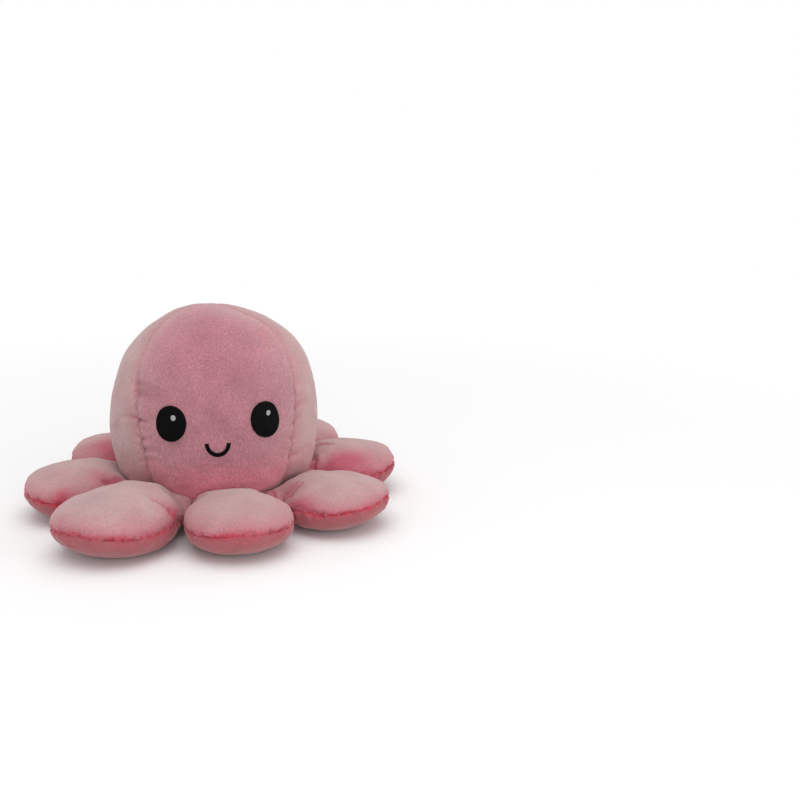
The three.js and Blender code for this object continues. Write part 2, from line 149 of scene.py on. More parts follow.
def outward(angle):
    return np.array([math.sin(angle), -math.cos(angle), 0.0])


def wrapped(angle):
    """The same angle between minus half a turn and half a turn."""
    return np.mod(angle + pi, 2 * pi) - pi


def quad_grid(rows, columns, wrap=False):
    """Faces of a grid of points, rows down and columns anticlockwise as the outside sees them."""
    r, c = np.meshgrid(np.arange(rows - 1), np.arange(columns if wrap else columns - 1), indexing="ij")
    n = (c + 1) % columns
    quads = [r * columns + c, (r + 1) * columns + c, (r + 1) * columns + n, r * columns + n]
    return np.stack(quads, axis=-1).reshape(-1, 4)


def normals_of(points, faces):
    a, b, c, d = (points[faces[:, k]] for k in range(4))
    n = np.cross(c - a, d - b)
    size = len(points)
    total = np.stack([np.bincount(faces.T.ravel(), np.tile(n[:, k], 4), size) for k in range(3)], -1)
    return total / np.maximum(np.linalg.norm(total, axis=1, keepdims=True), 1e-12)


def make_object(name, points, faces, values=None, scale=MM):
    """Mesh object of points in millimetres. A negative last corner marks a triangle."""
    mesh = bpy.data.meshes.new(name)
    corners = [f[f >= 0].tolist() for f in faces] if (faces < 0).any() else faces.tolist()
    mesh.from_pydata((np.asarray(points) * scale).tolist(), [], corners)
    for key, value in (values or {}).items():
        value = np.asarray(value, np.float32)
        vector = value.ndim == 2
        layer = mesh.attributes.new(key, "FLOAT_VECTOR" if vector else "FLOAT", "POINT")
        layer.data.foreach_set("vector" if vector else "value", value.ravel())
    mesh.polygons.foreach_set("use_smooth", [True] * len(mesh.polygons))
    mesh.update()
    return linked(name, mesh)


def read_points(mesh, scale=MM):
    points = np.empty(len(mesh.vertices) * 3)
    mesh.vertices.foreach_get("co", points)
    return points.reshape(-1, 3) / scale


def subdivided(points, faces, groups, values):
    """One smooth subdivision: (points, faces, group of each face, values). Every face is a quad after it."""
    obj = make_object("work", points, faces, values)
    obj.data.polygons.foreach_set("material_index", np.asarray(groups, np.int32))
    obj.modifiers.new("fine", "SUBSURF").levels = 1
    graph = bpy.context.evaluated_depsgraph_get()
    mesh = bpy.data.meshes.new_from_object(obj.evaluated_get(graph), depsgraph=graph)
    count = len(mesh.polygons)
    corners, group = np.empty(count * 4, np.int32), np.empty(count, np.int32)
    mesh.polygons.foreach_get("vertices", corners)
    mesh.polygons.foreach_get("material_index", group)
    kept = {}
    for key in values:
        out = np.empty(len(mesh.vertices), np.float32)
        mesh.attributes[key].data.foreach_get("value", out)
        kept[key] = out.astype(float)
    result = read_points(mesh), corners.reshape(-1, 4), group, kept
    bpy.data.objects.remove(obj)
    bpy.data.meshes.remove(mesh)
    return result


def part_of(points, faces, values, chosen):
    """The chosen faces with only the points that they use."""
    used, inverse = np.unique(faces[chosen], return_inverse=True)
    return points[used], inverse.reshape(-1, 4), {k: v[used] for k, v in values.items()}


def distances_along(line):
    """How far each point of a line is from its start, along the line."""
    return np.concatenate([[0], np.cumsum(np.linalg.norm(np.diff(line, axis=0), axis=1))])


def surface_of(points, faces):
    """Search tree of a surface, in metres."""
    return BVHTree.FromPolygons((points * MM).tolist(), faces.tolist())


# Cloth

SIM_SCALE, SIM_FRAMES = 10.0, 20
LEAST_WEIGHT = 0.01
PILE = [(0.09, 1.7), (0.07, 0.8)]


def inflated(full, points, faces, pinned, shrunk, pressure, cap, shrink):
    """Shape that cloth cut to these points takes under its stuffing's pressure, each point moving cap at most.
    The full form is not used."""
    obj = make_object("cloth", points, faces, scale=MM * SIM_SCALE)
    for name, weights in (("pinned", pinned), ("shrunk", shrunk)):
        group = obj.vertex_groups.new(name=name)
        for i in np.flatnonzero(weights > LEAST_WEIGHT):
            group.add([int(i)], float(weights[i]), "REPLACE")
    modifier = obj.modifiers.new("cloth", "CLOTH")
    cloth = modifier.settings
    cloth.quality = 6
    cloth.mass = 0.15
    cloth.tension_stiffness = cloth.compression_stiffness = 25
    cloth.shear_stiffness = 8
    cloth.bending_stiffness = 0.05
    cloth.use_pressure = True
    cloth.uniform_pressure_force = pressure
    cloth.effector_weights.gravity = 0
    cloth.vertex_group_mass = "pinned"
    cloth.vertex_group_shrink = "shrunk"
    cloth.shrink_min, cloth.shrink_max = 0.0, shrink
    modifier.collision_settings.use_collision = False
    modifier.collision_settings.use_self_collision = False
    modifier.point_cache.frame_start, modifier.point_cache.frame_end = 1, SIM_FRAMES
    for number in range(1, SIM_FRAMES + 1):
        scene.frame_set(number)
    graph = bpy.context.evaluated_depsgraph_get()
    moved = read_points(obj.evaluated_get(graph).data, MM * SIM_SCALE)
    bpy.data.objects.remove(obj)
    scene.frame_set(1)
    step = moved - points
    length = np.linalg.norm(step, axis=1, keepdims=True)
    return points + step * np.minimum(1, cap / np.maximum(length, 1e-9))


def piled(points, faces, seed):
    """Points with the small unevenness of a short pile."""
    rough = layered(points, *((height, size, seed + i) for i, (height, size) in enumerate(PILE)))
    return points + normals_of(points, faces) * rough[:, None]


def tucks(along, away, total, spacing, depth, reach, seed, width=1.1):
    """How far the cloth lies in, at short wrinkles that cross a seam where the stitches draw it in,
    for a place along the seam and a signed distance from it."""
    random = np.random.default_rng(seed)
    result = np.zeros_like(along)
    at = random.uniform(0, spacing)
    side = np.sign(away)
    distance = np.abs(away)
    while at < total:
        size = depth * random.uniform(0.25, 1) ** 1.5
        wide = width * random.uniform(0.7, 1.5)
        lean = random.uniform(-0.35, 0.35)
        long = reach * random.uniform(0.45, 1.25, 2)
        strong = random.uniform(0.4, 1, 2)
        length = np.where(side > 0, long[0], long[1])
        force = np.where(side > 0, strong[0], strong[1])
        line = (along - at - lean * distance) / (wide * (1 + 0.4 * distance / reach))
        result += size * force * np.exp(-(line**2) - (distance / length) ** 1.6)
        at += spacing * random.uniform(0.5, 1.6)
    return result


# Head's plain form

# How much farther apart the face's two seams run low on the head
SEAM_SPREAD, SPREAD_START, SPREAD_END = math.radians(4.5), math.radians(100), math.radians(143)
SIDE_ANGLE = pi - 2 * FACE_HALF_ANGLE
HEAD_ROWS, PANEL_COLUMNS = 76, [62, 44, 62, 44]
CROWN_START = 0.012
WAIST_SEARCH, HALVINGS = (pi / 3, pi * 0.95), 40


def crown_direction(from_crown, round_):
    side = np.sin(from_crown)
    return (
        np.cos(from_crown)[..., None] * CROWN_AXIS
        + (side * np.sin(round_))[..., None] * SIDE_AXIS
        + (side * np.cos(round_))[..., None] * FRONT_AXIS
    )


def head_reach(direction):
    plan = np.hypot(direction[..., 0], direction[..., 1])
    up = direction[..., 2]
    upright = np.where(up > 0, HEAD_RISE, HEAD_DROP)
    power = np.where(up > 0, RISE_POWER, DROP_POWER)
    return ((plan / HEAD_RADIUS) ** power + (np.abs(up) / upright) ** power) ** (-1 / power)


def head_point(direction):
    return HEAD_MIDDLE + direction * head_reach(direction)[..., None]


def waist_angle(round_, level):
    """Angle from the crown at which the head comes down to a level, for each angle round the crown."""
    low, high = (np.full_like(round_, limit) for limit in WAIST_SEARCH)
    for _ in range(HALVINGS):
        middle = (low + high) / 2
        above = head_point(crown_direction(middle, round_))[..., 2] > level
        low, high = np.where(above, middle, low), np.where(above, high, middle)
    return low


def seam_spread(from_crown):
    """(spread of the face's seams, how much the cloth's angles stretch on the face and beside it)."""
    spread = SEAM_SPREAD * smooth_step((from_crown - SPREAD_START) / (SPREAD_END - SPREAD_START))
    return spread, 1 + spread / FACE_HALF_ANGLE, 1 - spread / SIDE_ANGLE


def turned(angle, seam, face, side):
    """Angle round the crown with new sizes on the face and beside it. The back panel keeps its own."""
    size = np.abs(angle)
    return np.sign(angle) * np.where(size < seam, face, np.where(size < pi - FACE_HALF_ANGLE, side, size))


def turned_out(angle, from_crown):
    """From the panels' plain pattern to the head, where the face's seams are spread."""
    spread, face, side = seam_spread(from_crown)
    size = np.abs(angle)
    beside = FACE_HALF_ANGLE + spread + (size - FACE_HALF_ANGLE) * side
    return turned(angle, FACE_HALF_ANGLE, size * face, beside)


def turned_in(angle, from_crown):
    """The reverse."""
    spread, face, side = seam_spread(from_crown)
    size = np.abs(angle)
    beside = FACE_HALF_ANGLE + (size - FACE_HALF_ANGLE - spread) / side
    return turned(angle, FACE_HALF_ANGLE + spread, size / face, beside)


def panel_angles(counts):
    """(angle of each column of points, its panel) for four panels with these counts of columns."""
    angles, panel = [], []
    for i, count in enumerate(counts):
        start = SEAM_ANGLES[i]
        end = SEAM_ANGLES[(i + 1) % 4] + (2 * pi if i == 3 else 0)
        angles += list(start + (end - start) * np.arange(count) / count)
        panel += [i] * count
    return np.array(angles), panel


def head_mesh():
    """The head's cloth from the crown to the waist: (points, faces, panel of each face)."""
    angles, panel = panel_angles(PANEL_COLUMNS)
    angles = wrapped(angles)
    count = len(angles)
    end = waist_angle(turned_out(angles, SPREAD_END), WAIST_LEVEL)
    share = np.linspace(0, 1, HEAD_ROWS)[:, None]
    from_crown = CROWN_START + (end[None, :] - CROWN_START) * share
    points = head_point(crown_direction(from_crown, turned_out(angles[None, :], from_crown)))
    points = np.concatenate([points.reshape(-1, 3), head_point(CROWN_AXIS[None])])
    top = [[count * HEAD_ROWS, c, (c + 1) % count, -1] for c in range(count)]
    faces = np.concatenate([quad_grid(HEAD_ROWS, count, wrap=True), np.array(top)])
    return points, faces, np.array(panel * HEAD_ROWS)


def head_directions(points):
    """Unit vectors from the head's middle."""
    d = points - HEAD_MIDDLE
    return d / np.linalg.norm(d, axis=1, keepdims=True)


def seam_offsets(points):
    """(signed distance from each of the head's four seams, distance from the crown along the surface)."""
    d = head_directions(points)
    from_crown = np.arccos(np.clip(d @ CROWN_AXIS, -1, 1))
    round_ = turned_in(np.arctan2(d @ SIDE_AXIS, d @ FRONT_AXIS), from_crown)
    from_axis = HEAD_RADIUS * np.sin(from_crown)
    offsets = [wrapped(round_ - seam) * from_axis for seam in SEAM_ANGLES]
    return np.array(offsets), HEAD_RADIUS * from_crown


# Head's stuffing and puckers

# How much smaller or larger the head's cloth is cut, across and up, so that it fills out to its size
HEAD_SLACK = np.array([0.987, 0.987, 1.034])
# Above the waist by this much the cloth is free to move
PINNED_HEIGHT = 3
# Within this distance of a seam, the pattern's own distance from it counts
PATTERN_REACH = 35
# The face's seams lie in front of this
FRONT_LIMIT = 10
HEAD_TUCKS = {"total": 140, "spacing": 4.5, "depth": 0.6, "reach": 5}
# Raised lip of cloth beside each seam of the face: height, distance from the seam, half width
SEAM_LIP = 0.22, 1.7, 0.8
# Where the stuffing makes the head fuller or flatter: direction from its middle, millimetres, width in radians
HEAD_SCULPT = [
    ((-0.92, 0.18, 0.35), -1.5, 0.55),
    ((-0.8, 0.1, 0.6), 1.1, 0.3),
    ((-0.98, 0.1, 0.05), -0.5, 0.4),
    ((-0.2, 0.0, 0.98), 0.5, 0.4),
    ((0.3, -0.08, 0.95), -2.0, 0.26),
    ((0.78, -0.14, 0.6), 2.2, 0.38),
]
# Puckers across the two seams of the face: seam, height, depth, half width, reach in over the face and back
FACE_PUCKERS = [
    (0, 75.0, 0.9, 1.3, 13.0, 1.5),
    (0, 70.3, 1.5, 2.6, 17.0, 2.0),
    (0, 66.5, 0.7, 1.1, 9.0, 2.0),
    (0, 57.6, 1.2, 1.0, 9.0, 9.0),
    (0, 48.6, 0.9, 1.1, 8.0, 3.0),
    (0, 42.8, 0.9, 1.3, 13.0, 1.0),
    (0, 36.0, 0.5, 1.1, 7.0, 5.0),
    (1, 83.0, 0.3, 1.3, 4.0, 6.0),
    (1, 70.5, 0.3, 1.4, 4.0, 10.0),
    (1, 60.0, 0.9, 1.2, 3.0, 10.0),
    (1, 53.2, 0.6, 1.1, 7.0, 5.0),
    (1, 44.0, 0.7, 1.2, 8.0, 4.0),
    (1, 34.0, 0.9, 1.3, 3.0, 8.0),
]
# Strength of a pucker's groove and of the lip below it, and how far below it the lip lies in half widths
GROOVE, LIP, LIP_DROP = 1.5, 0.5, 1.6


def head_sculpt(points):
    d = head_directions(points)
    total = np.zeros(len(points))
    for direction, amount, width in HEAD_SCULPT:
        axis = np.array(direction) / np.linalg.norm(direction)
        total += amount * bell(np.arccos(np.clip(d @ axis, -1, 1)) / width)
    return total


def face_puckers(points, offsets):
    """How far the cloth lies in at the puckers of the face's seams."""
    total = np.zeros(len(points))
    front = points[:, 1] < FRONT_LIMIT
    for number, (seam, level, depth, wide, inner, outer) in enumerate(FACE_PUCKERS):
        inside = offsets[seam] * (1 if seam == 0 else -1)
        reach = np.where(inside > 0, inner, outer)
        slope = 0.12 * math.sin(number * 2.4)
        wave = 0.8 * np.sin(inside / 3.5 + number)
        line = (points[:, 2] - level - slope * inside - wave) / (wide * (1 + 0.5 * np.abs(inside) / reach))
        fading = (np.abs(inside) / reach) ** 2.5
        total += GROOVE * depth * np.exp(-(line**2) - fading) * front
        total -= LIP * depth * np.exp(-((line + LIP_DROP) ** 2) - fading) * front
    return total


def build_head():
    """(points, faces, panel of each face, distances from the seams) of the stuffed head."""
    points, faces, group = head_mesh()
    pattern, _ = seam_offsets(points)
    nearest = np.abs(pattern).min(0)
    low = points[:, 2] < WAIST_LEVEL + PINNED_HEIGHT
    start = HEAD_MIDDLE + (points - HEAD_MIDDLE) * np.where(low[:, None], 1, HEAD_SLACK)
    points = inflated(points, start, faces, low.astype(float), bell(nearest / 2), 3.0, 2.2, shrink=0.12)
    kept = {f"seam_{i}": offset for i, offset in enumerate(pattern)}
    points, faces, group, kept = subdivided(points, faces, group, kept)
    normals = normals_of(points, faces)
    offsets, along = seam_offsets(points)
    offsets = np.where(np.abs(offsets) < PATTERN_REACH, np.array(list(kept.values())), offsets)
    nearest = np.abs(offsets).min(0)
    inward = 0.65 * bell(nearest / 4.0) + 0.55 * bell(nearest / 0.7)
    for i, offset in enumerate(offsets):
        near = np.abs(offset) < 30
        inward[near] += tucks(along[near], offset[near], seed=40 + i, **HEAD_TUCKS)
    height, distance, width = SEAM_LIP
    for inside in (offsets[0], -offsets[1]):
        inward -= height * bell((inside - distance) / width) * (points[:, 1] < FRONT_LIMIT)
    inward += face_puckers(points, offsets)
    inward *= smooth_step(along / 12)
    lumps = layered(points, (0.5, 26, 3), (0.25, 9, 4)) + head_sculpt(points) - 0.3
    points = points + normals * (lumps - inward)[:, None]
    return points, faces, group, offsets


# Materials

SHADER = "Principled BSDF"


def linear(*colour):
    """A shader's colour from the red, green and blue of a picture."""
    parts = [c / 255 for c in colour]
    return tuple(((c + 0.055) / 1.055) ** 2.4 if c > 0.04 else c / 12.92 for c in parts) + (1,)


class Nodes:
    """Node tree of a material or world, and short ways to build it. An input is a socket or a plain value."""

    def __init__(self, owner):
        owner.use_nodes = True
        self.tree = owner.node_tree

    def fill(self, node, inputs):
        for key, value in inputs.items():
            if isinstance(value, bpy.types.NodeSocket):
                self.tree.links.new(value, node.inputs[key])
            else:
                node.inputs[key].default_value = value

    def add(self, kind, inputs, output=0, **settings):
        node = self.tree.nodes.new("ShaderNode" + kind)
        for key, value in settings.items():
            setattr(node, key, value)
        self.fill(node, inputs)
        return node.outputs[output]

    def end(self, name, inputs):
        """Fill the inputs of a node that the tree has from the start."""
        self.fill(self.tree.nodes[name], inputs)

    def attribute(self, name, output="Fac"):
        return self.add("Attribute", {}, output, attribute_name=name)

    def noise(self, place, scale, detail, stretch=(1, 1, 1)):
        size = tuple(scale / MM * s for s in stretch)
        mapped = self.add("Mapping", {"Vector": place, "Scale": size})
        return self.add("TexNoise", {"Vector": mapped, "Scale": 1, "Detail": detail}, "Fac")

    def mixed(self, factor, a, b, kind="MIX"):
        return self.add("Mix", {0: factor, 6: a, 7: b}, 2, data_type="RGBA", blend_type=kind)

    def remapped(self, value, low, high, to_low=0.0, to_high=1.0):
        limits = {"From Min": low, "From Max": high, "To Min": to_low, "To Max": to_high}
        return self.add("MapRange", {"Value": value, **limits})

    def mottled(self, colour, noise, half_range, amount):
        """Colour made lighter and darker by a noise about its middle."""
        value = self.remapped(noise, 0.5 - half_range, 0.5 + half_range, 1 - amount, 1 + amount)
        grey = self.add("CombineColor", {0: value, 1: value, 2: value})
        return self.mixed(1.0, colour, grey, "MULTIPLY")

    def bump(self, height, strength, distance):
        return self.add("Bump", {"Strength": strength, "Distance": distance * MM, "Height": height})

    def math(self, operation, *values, **settings):
        return self.add("Math", dict(enumerate(values)), operation=operation, **settings)

    def seen_rays(self):
        """1 for rays that show the background: straight from the camera, reflected or let through."""
        path = self.tree.nodes.new("ShaderNodeLightPath")
        total = path.outputs["Is Camera Ray"]
        for name in ("Is Glossy Ray", "Is Transmission Ray"):
            total = self.math("ADD", total, path.outputs[name], use_clamp=True)
        return total


def plush_material(name, colours, sheen, nap, strength):
    """Short pile: blotches, fibre clumps along the nap, painted shade as deeper colour in folds and along seams
    (on the face a lighter fold colour, painted light), a paler colour for painted light and light flecks, and
    sheen.
    """
    body, light, deep, seam, painted_light_and_flecks = (linear(*colour) for colour in colours)
    material = bpy.data.materials.new(name)
    nodes = Nodes(material)
    place = nodes.attribute("place", "Vector")
    blotch = nodes.remapped(nodes.noise(place, 0.075, 3), 0.35, 0.68)
    clumps = nodes.noise(place, 0.9, 2, nap)
    fibres = nodes.noise(place, 2.6, 2, nap)
    colour = nodes.mixed(blotch, body, light)
    # Paler colour: painted light on the head, and light flecks of pile on the tentacles.
    colour = nodes.mixed(nodes.attribute("painted_light_and_flecks"), colour, painted_light_and_flecks)
    # Fold colour: painted shade in folds, low places and crevices; on the face a lighter colour, painted light.
    colour = nodes.mixed(nodes.attribute("fold"), colour, deep)
    colour = nodes.mottled(colour, clumps, 0.2, 0.21 * strength)
    colour = nodes.mottled(colour, fibres, 0.15, 0.12 * strength)
    # Seam colour: the seams' line, partly the seams themselves and partly painted shade in their grooves,
    # puckers, webs and hollows.
    colour = nodes.mixed(nodes.attribute("seam"), colour, seam)
    height = nodes.math("MULTIPLY_ADD", clumps, 1.6, fibres)
    nodes.end(SHADER, {
        "Base Color": colour,
        "Roughness": nodes.remapped(clumps, 0.3, 0.7, 0.82, 0.98),
        "Specular IOR Level": 0.15,
        "Sheen Weight": sheen,
        "Sheen Roughness": 0.45,
        "Sheen Tint": (1.0, 0.9, 0.88, 1),
        "Normal": nodes.bump(height, 0.55 * strength, 0.35),
    })
    return material


def thread_material(name, body, light):
    """Twisted embroidery thread with a soft gloss along its stitches."""
    material = bpy.data.materials.new(name)
    nodes = Nodes(material)
    twist = nodes.noise(nodes.attribute("place", "Vector"), 3.2, 2, (1, 1, 0.35))
    nodes.end(SHADER, {
        "Base Color": nodes.mixed(nodes.remapped(twist, 0.35, 0.7), linear(*body), linear(*light)),
        "Roughness": nodes.remapped(twist, 0.3, 0.7, 0.48, 0.68),
        "Specular IOR Level": 0.06,
        "Normal": nodes.bump(twist, 0.3, 0.08),
    })
    return material


# Of each cloth: its colours (plain, light, painted shade in folds, at seams, painted light and light flecks),
# sheen, nap and strength of its pile. The face's fold colour is lighter: painted light.
CLOTHS = {
    FACE_CLOTH: (
        [(155, 103, 113), (168, 114, 124), (220, 124, 139), (88, 42, 49), (180, 131, 137)],
        0.5, (1.3, 1.3, 0.8), 0.9,
    ),
    PALE_CLOTH: (
        [(177, 147, 147), (186, 156, 155), (176, 90, 104), (182, 62, 80), (204, 160, 162)],
        0.3, (1.2, 1.2, 0.8), 0.5,
    ),
    DEEP_CLOTH: (
        [(150, 86, 91), (162, 97, 101), (170, 72, 84), (182, 62, 80), (196, 138, 142)],
        0.3, (1.2, 1.2, 0.8), 0.5,
    ),
}
THREADS = {BLACK_THREAD: [(1, 1, 1), (5, 5, 5)], WHITE_THREAD: [(128, 127, 129), (186, 184, 186)]}
MATERIALS = {name: plush_material(name, *look) for name, look in CLOTHS.items()}
MATERIALS |= {name: thread_material(name, *colours) for name, colours in THREADS.items()}


def finished(name, points, faces, values, slot, replaced):
    """A piece with its material, slot and replaced nodes. The caller says what it rides on, if anything."""
    obj = make_object(name, points, faces, {"place": points * MM, **values})
    obj.data.materials.append(MATERIALS[slot])
    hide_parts(*replaced)
    return obj


# Painted light, a lighter pink on the shaded cloth low on the head's right: strength, height, reach up and
# down, angle, reach around
PAINTED_LIGHT, PAINTED_LIGHT_LEVEL, PAINTED_LIGHT_HEIGHT, PAINTED_LIGHT_ANGLE, PAINTED_LIGHT_WIDTH = 0.8, 29, 10, 1.2, 0.4


def add_head():
    points, faces, group, offsets = build_head()
    smooth = surface_of(points, faces)
    points = piled(points, faces, 11)
    nearest = np.abs(offsets).min(0)
    level = points[:, 2]
    puckers = np.clip(face_puckers(points, offsets), 0, 2)
    # Seam colour: the seams' dark line, partly the seams themselves and partly painted shade of their grooves,
    # fading towards the crown, and painted shade in the puckers.
    shown = 0.1 + 0.9 * smooth_step((92 - level) / 20)
    edge = 1.6 + 0.4 * grain(points, 3, 12)
    seam = shown * bell(nearest / np.maximum(edge, 0.3))
    seam += 0.24 * np.clip(puckers / 1.5, 0, 1)
    low = smooth_step((44 - level) / 24)
    high = smooth_step((level - 70) / 35)
    uneven = 0.06 * grain(points, 8, 13)
    # Painted light: a lighter colour on the face near its seams, where the cloth turns away (a painted sheen),
    # less so low down and around 68 mm up.
    painted_light_and_flecks = 0.85 * bell(nearest / 21) * (1 - 0.8 * low)
    painted_light_and_flecks *= 1 - 0.5 * bell((level - 68) / 8)
    # Fold colour on the face: painted light low on the face and at its top, a pinker tint in the puckers as
    # part of their painted shade, and some random tone. On the side panels: painted shade low on the head, near
    # the seams and in the puckers, and some random tone.
    face_painted_light_and_shade = 0.7 * low + 0.1 * high + 0.1 * puckers + uneven
    side_painted_shade = 0.3 * low + 0.05 + 0.3 * np.exp(-nearest / 7) + 0.2 * puckers + uneven
    # Painted light low on the head's right, where the cloth lies in shade.
    around = np.arctan2(points[:, 0], -points[:, 1])
    painted_light = PAINTED_LIGHT * bell((level - PAINTED_LIGHT_LEVEL) / PAINTED_LIGHT_HEIGHT, (around - PAINTED_LIGHT_ANGLE) / PAINTED_LIGHT_WIDTH)
    face_values = {"seam": np.clip(seam, 0, 1), "fold": np.clip(face_painted_light_and_shade, 0, 1), "painted_light_and_flecks": painted_light_and_flecks}
    side_values = {"seam": 0 * seam, "fold": np.clip(side_painted_shade, 0, 1), "painted_light_and_flecks": painted_light}
    for i, name in enumerate(PANELS):
        p, f, v = part_of(points, faces, face_values if name == "front" else side_values, group == i)
        cloth = FACE_CLOTH if name == "front" else PALE_CLOTH
        nodes = [f"head_{name}_panel"] + (["head_filling"] if name == "front" else [])
        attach(finished(f"head_{name}_plush", p, f, v, cloth, nodes), "head")
    return smooth


# Tentacles, each in a frame of its own: out from its root, across, and up from the table

TENTACLE_CELLS = 40
WEB_DISTANCE, WEB_LEVEL = 58.0, 8.8
CREASE_RADIUS, CREASE_LEVEL = 49.6, 19.2
CORNER_RADIUS, CORNER_LEVEL = 49.2, 17.8
TIP_POWER, VALLEY_POWER = 2.15, 6
TABLE_DEPTH, TABLE_ROUND = 15.2, 0.5
HALF_GAP = 0.15
# Angles about a tentacle's middle, from its tip: where the web begins, where the root is held, its shoulders
CORNER_TURN, ROOT_TURN, SHOULDER_TURN, SHOULDER_WIDTH = pi * 0.75, pi * 0.745, 2.25, 0.5
# Where the sewn edge ends, the angle over which it fades, and over which the edge is no longer held to its size
SEAM_TURN, SEAM_FADE, FREE_FADE = pi * 0.78, 0.2, pi * 0.24
# From this share of the way out a point lies on the edge, and how much smaller the cloth is cut than its form
RIM_SHARE, TENTACLE_SLACK = 0.999, 0.985
# Share of the root's edge on which it leaves the web, of the upper and the lower cloth
TOP_BEND, BOTTOM_BEND = 0.35, 0.3
FOLD_END, FOLD_INSET, FOLD_GAP = 1.2, 0.1, 0.2
# How full each tentacle's upper cloth is beside its root, on its two sides
SHOULDERS = [(0.1, -0.4), (-0.3, 0.2)] + [(0.3, 0.3)] * 5 + [(-0.4, 0.2)]
# How wide the flat web is beside each tentacle's root on its two sides, at its top and at its foot
WEB_FACETS = [(2.0, 5.0), (8.0, 4.0)] + [(4.5, 4.5)] * 5 + [(3.5, 11.0)]
WEB_FEET = [(2.0, 1.5)] + [(1.2, 1.2)] * 6 + [(1.2, 6.0)]
WEB_REACH, WEB_PULL = 6.0, 0.85
# How gently the flat web begins: more so for the three tentacles at the back
WEB_SOFTNESS = [2.2] * 3 + [7.5] * 3 + [2.2] * 2
# Distances past the root between which the cloth goes over from the head's body to the tentacle's
BLEND_START, BLEND_END = 3.5, 13
# Creases in the upper cloth of some tentacles: (line through [out, across] places, depth, half width)
CREASES = {
    7: [(((31.0, 16.0), (30.0, 20.0), (28.6, 22.9), (27.2, 26.0), (25.0, 27.5)), 3.2, 1.0)],
    1: [
        (((1.8, -15.2), (4.1, -16.0), (7.5, -18.0)), 1.5, 0.9),
        (((13.0, -20.0), (11.7, -15.2), (13.9, -10.0)), 1.3, 0.9),
        (((15.6, -19.8), (15.2, -14.8), (18.0, -10.0)), 1.0, 0.9),
    ],
    2: [
        (((5.5, -6.0), (6.4, -11.0), (6.4, -15.5), (8.0, -19.0)), 2.2, 1.2),
        (((8.0, 3.0), (15.3, 1.3), (19.7, -4.2)), 1.1, 0.9),
        (((6.0, 4.5), (13.0, 4.0), (17.0, -1.0)), 0.8, 0.9),
    ],
    6: [(((6.0, 14.0), (11.0, 15.5), (17.0, 19.0)), 0.6, 0.8)],
}
# Hollows of some tentacles: [out, across], [reach out, reach across], depth, and painted shade in the fold
# colour and in the seam colour
HOLLOWS = {
    0: [((27.0, 20.0), (6.0, 3.0), 0.3, 0.25, 0.0), ((5.0, 14.0), (8.0, 7.0), 1.5, 0.0, 0.0)],
    1: [((25.5, -25.3), (8.0, 5.0), 0.5, 0.45, 0.0), ((25.0, 10.0), (16.0, 9.0), 1.6, 0.0, 0.0)],
    2: [((22.0, -18.5), (15.0, 7.5), 1.8, 0.9, 0.0)],
    3: [((25.0, 0.0), (16.0, 12.0), 1.5, 0.0, 0.0)],
    5: [((20.0, 13.8), (11.0, 8.0), 0.3, 0.7, 0.0), ((22.0, 0.0), (14.0, 10.0), -1.2, 0.0, 0.0)],
    6: [((37.0, 25.0), (4.5, 3.2), 0.3, 0.3, 0.8), ((17.0, 15.5), (9.0, 6.0), 0.4, 0.4, 0.0)],
    7: [((20.8, 28.6), (5.5, 3.2), 0.4, 0.5, 1.6), ((22.0, -20.0), (20.0, 9.0), 2.4, 0.0, 0.0)],
}


def signed_power(x, power):
    return np.sign(x) * np.abs(x) ** power


